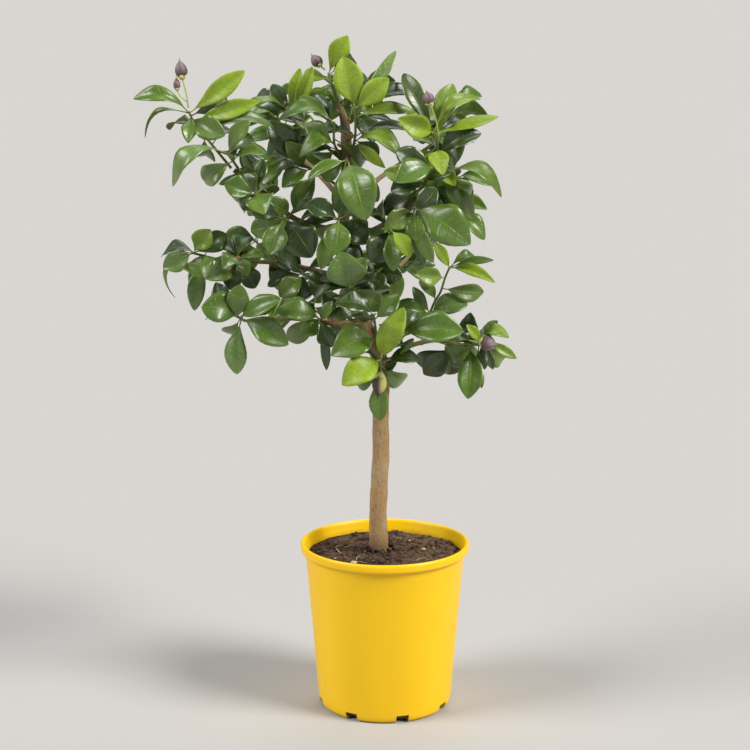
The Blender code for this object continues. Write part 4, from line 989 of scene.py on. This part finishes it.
def makeFoliage():
    counts = []
    for number, (name, (reach, letters, route, rows)) in enumerate(sprigTable.items()):
        points = grownRoute(reach, route)
        rows = [(share, x, y + reach * share, *rest) for share, x, y, *rest in rows]
        if name not in spiral["unshaded"]:
            rows += shadeRows(points, number)
        counts.append(makeSprig(name, points, rows, letters + spiral["shadeTones"]))
    for name, (route, count, length) in backSprigTable.items():
        points = grownRoute(0.0, route)
        counts.append(makeSprig(name, points, backRows(count, length, points), spiral["backTones"]))
    kept, lost = map(sum, zip(*counts))
    print("foliage made:", kept, "leaves,", lost, "without a place in the CAD model")


makeFoliage()

budShape = {
    "columns": 25, "rings": 22, "stalkRadius": 0.95, "calyxShare": 0.2, "ridges": 5, "nipple": 0.17,
    "bodyShare": 0.86, "halfRipe": "hanging", "pink": {"low_left": 0.9},
    # stalk, tip, width, how pink
    "small": [([(-224, -54, 712), (-232, -55, 719), (-235, -55, 725)], (-236, -55, 741), 8, 0.08),
              ([(57, -39, 667), (52, -40, 672)], (45, -40, 685), 7, 0.15),
              ([(-168, -22, 534), (-169, -28, 535)], (-170, -37, 532), 7, 0.8),
              ([(-108, 6, 702), (-111, 4, 706)], (-114, 3, 715), 6, 0.0),
              ([(62, -34, 640), (70, -38, 642)], (76, -40, 649), 4, 0.0)],
}


def addBud(bm, places, tones, stalk, tip, width, pink, half=False):
    points = [seen(*place) for place in stalk]
    axis = seen(*tip) - points[-1]
    length = axis.length
    axis.normalize()
    turn = axis.to_track_quat("Z", "Y").to_matrix()
    body = bmesh.ops.create_uvsphere(bm, u_segments=budShape["columns"], v_segments=budShape["rings"],
                                     radius=1.0)["verts"]
    for vert in body:
        height = (vert.co.z + 1) / 2
        angle = math.atan2(vert.co.y, vert.co.x)
        seam = (0.5 + 0.5 * math.cos(budShape["ridges"] * angle + height * 1.5)) ** 6
        size = math.hypot(vert.co.x, vert.co.y)
        out = vert.co / size if size > 0.0001 else Vector((0, 0, 0))
        share = min(1.0, height / budShape["bodyShare"])
        swell = max(0.0, math.sin(math.pi * share ** 0.82)) ** 0.62
        swell *= 1 - 0.07 * seam * math.sin(math.pi * share)
        nipple = budShape["nipple"] * math.sqrt(max(0.0, 1 - height)) * 1.8 if height > 0.5 else 0.0
        radius = width / 2 * mm * max(swell, nipple) if 0 < height < 1 else 0.0
        # the side turned to the right stays pale green on a half ripe one
        pale = min(1.0, max(0.0, 2.2 * ((turn @ out).x + 0.12))) * min(1.0, max(0.0, 4 * (0.8 - height)))
        vert[places] = (0.0, 1.3 - pale, pale, 1.0) if half else (height, seam, 0.0, 1 - pink)
        vert.co = points[-1] + turn @ Vector((out.x * radius, out.y * radius, height * length))
    depth = budShape["calyxShare"] * length
    cup = bmesh.ops.create_cone(bm, cap_ends=True, segments=30, radius1=0.17 * width * mm,
                                radius2=0.42 * width * mm, depth=depth)["verts"]
    for vert in cup:
        lobe = 0.10 * math.cos(5 * math.atan2(vert.co.y, vert.co.x)) if vert.co.z > 0 else 0.0
        flare = 1 + 1.4 * lobe
        flared = Vector((vert.co.x * flare, vert.co.y * flare, vert.co.z + depth * (lobe + 0.3)))
        vert[places] = (0.0, 0.0, 1.0, 1.0)
        vert.co = points[-1] + turn @ flared
    size = budShape["stalkRadius"] * mm * min(1.0, 0.4 + width / 20)
    route, radii = smoothRoute(points + [points[-1] + axis * 0.1 * length],
                               [size * 0.85] * (len(points) - 1) + [size, size * 1.5], 5)
    for vert in addTube(bm, route, radii, 8, 1):
        vert[tones] = (0.85, 0.0, 0.0, 1.0)


def makeBudPiece(name, buds, *nodes):
    bm = bmesh.new()
    places = bm.verts.layers.float_color.new("budPlace")
    tones = bm.verts.layers.float_color.new("leafTone")
    for bud in buds:
        addBud(bm, places, tones, *bud)
    bmesh.ops.recalc_face_normals(bm, faces=bm.faces)
    finishPiece(name, bm, [budMaterial, shoot], "flower_bud", *nodes)


for name, bud in budTable.items():
    bud = (*bud, budShape["pink"].get(name, 0.0), name == budShape["halfRipe"])
    makeBudPiece("closedBud_" + name, [bud], "bud_" + name)
makeBudPiece("smallBuds", budShape["small"])
print("buds made")

studio = {
    "floorColor": (0.47, 0.465, 0.46), "floorRadius": 60.0, "ambient": (0.15, 0.15, 0.155),
    # towards the light, strength, angle across it, colour
    "suns": [((1.0, -0.50, 0.90), 3.5, 24.0, (1.0, 0.97, 0.92)),
             ((-1.0, -0.34, 0.80), 2.3, 28.0, (1.0, 0.98, 0.95)),
             ((0.1, 0.9, 1.4), 0.7, 40.0, (1.0, 1.0, 1.0))],
    "cameraPlace": (0.0, -1.834, 0.740), "cameraTilt": 79.45, "cameraTurn": 0.365, "lens": 76.8,
    "sensor": 36.0,
}


def backdropGlow():
    # the backdrop is as bright as the lit floor
    glow = []
    for channel in range(3):
        light = studio["ambient"][channel]
        for heading, strength, _, color in studio["suns"]:
            light += strength * color[channel] * Vector(heading).normalized().z / math.pi
        glow.append(studio["floorColor"][channel] * light)
    return tuple(glow)


def makeStudio():
    bm = bmesh.new()
    bmesh.ops.create_circle(bm, cap_ends=True, segments=96, radius=studio["floorRadius"])
    bmesh.ops.translate(bm, verts=bm.verts, vec=(0, 0, -0.0004))
    look = Look("studioFloor", 0.9, Specular_IOR_Level=0.0, Base_Color=studio["floorColor"])
    linked("floor", meshOf("floor", bm, look.material))

    # what lights the tree from the backdrop is dimmer than what the camera sees
    world = bpy.data.worlds.new("studio")
    world.use_nodes = True
    nodes = Nodes(world.node_tree)
    direct = nodes.add("ShaderNodeLightPath")["Is Camera Ray"]
    nodes.feed(world.node_tree.nodes["Background"].inputs[0],
               nodes.mix(direct, studio["ambient"], backdropGlow()))
    bpy.context.scene.world = world

    for i, (heading, strength, angle, color) in enumerate(studio["suns"]):
        light = bpy.data.lights.new(f"softSun{i + 1}", "SUN")
        light.energy, light.angle, light.color = strength, math.radians(angle), color
        lamp = linked(light.name, light)
        lamp.location = Vector(heading) * 3
        lamp.rotation_euler = Vector(heading).to_track_quat("Z", "Y").to_euler()
    camera = linked("camera", bpy.data.cameras.new("camera"))
    camera.data.lens, camera.data.sensor_width = studio["lens"], studio["sensor"]
    camera.location = studio["cameraPlace"]
    camera.rotation_euler = (math.radians(studio["cameraTilt"]), 0.0, math.radians(studio["cameraTurn"]))
    bpy.context.scene.camera = camera
    bpy.context.scene.view_settings.view_transform = "Standard"


makeStudio()
print("studio made")

bpy.context.view_layer.update()
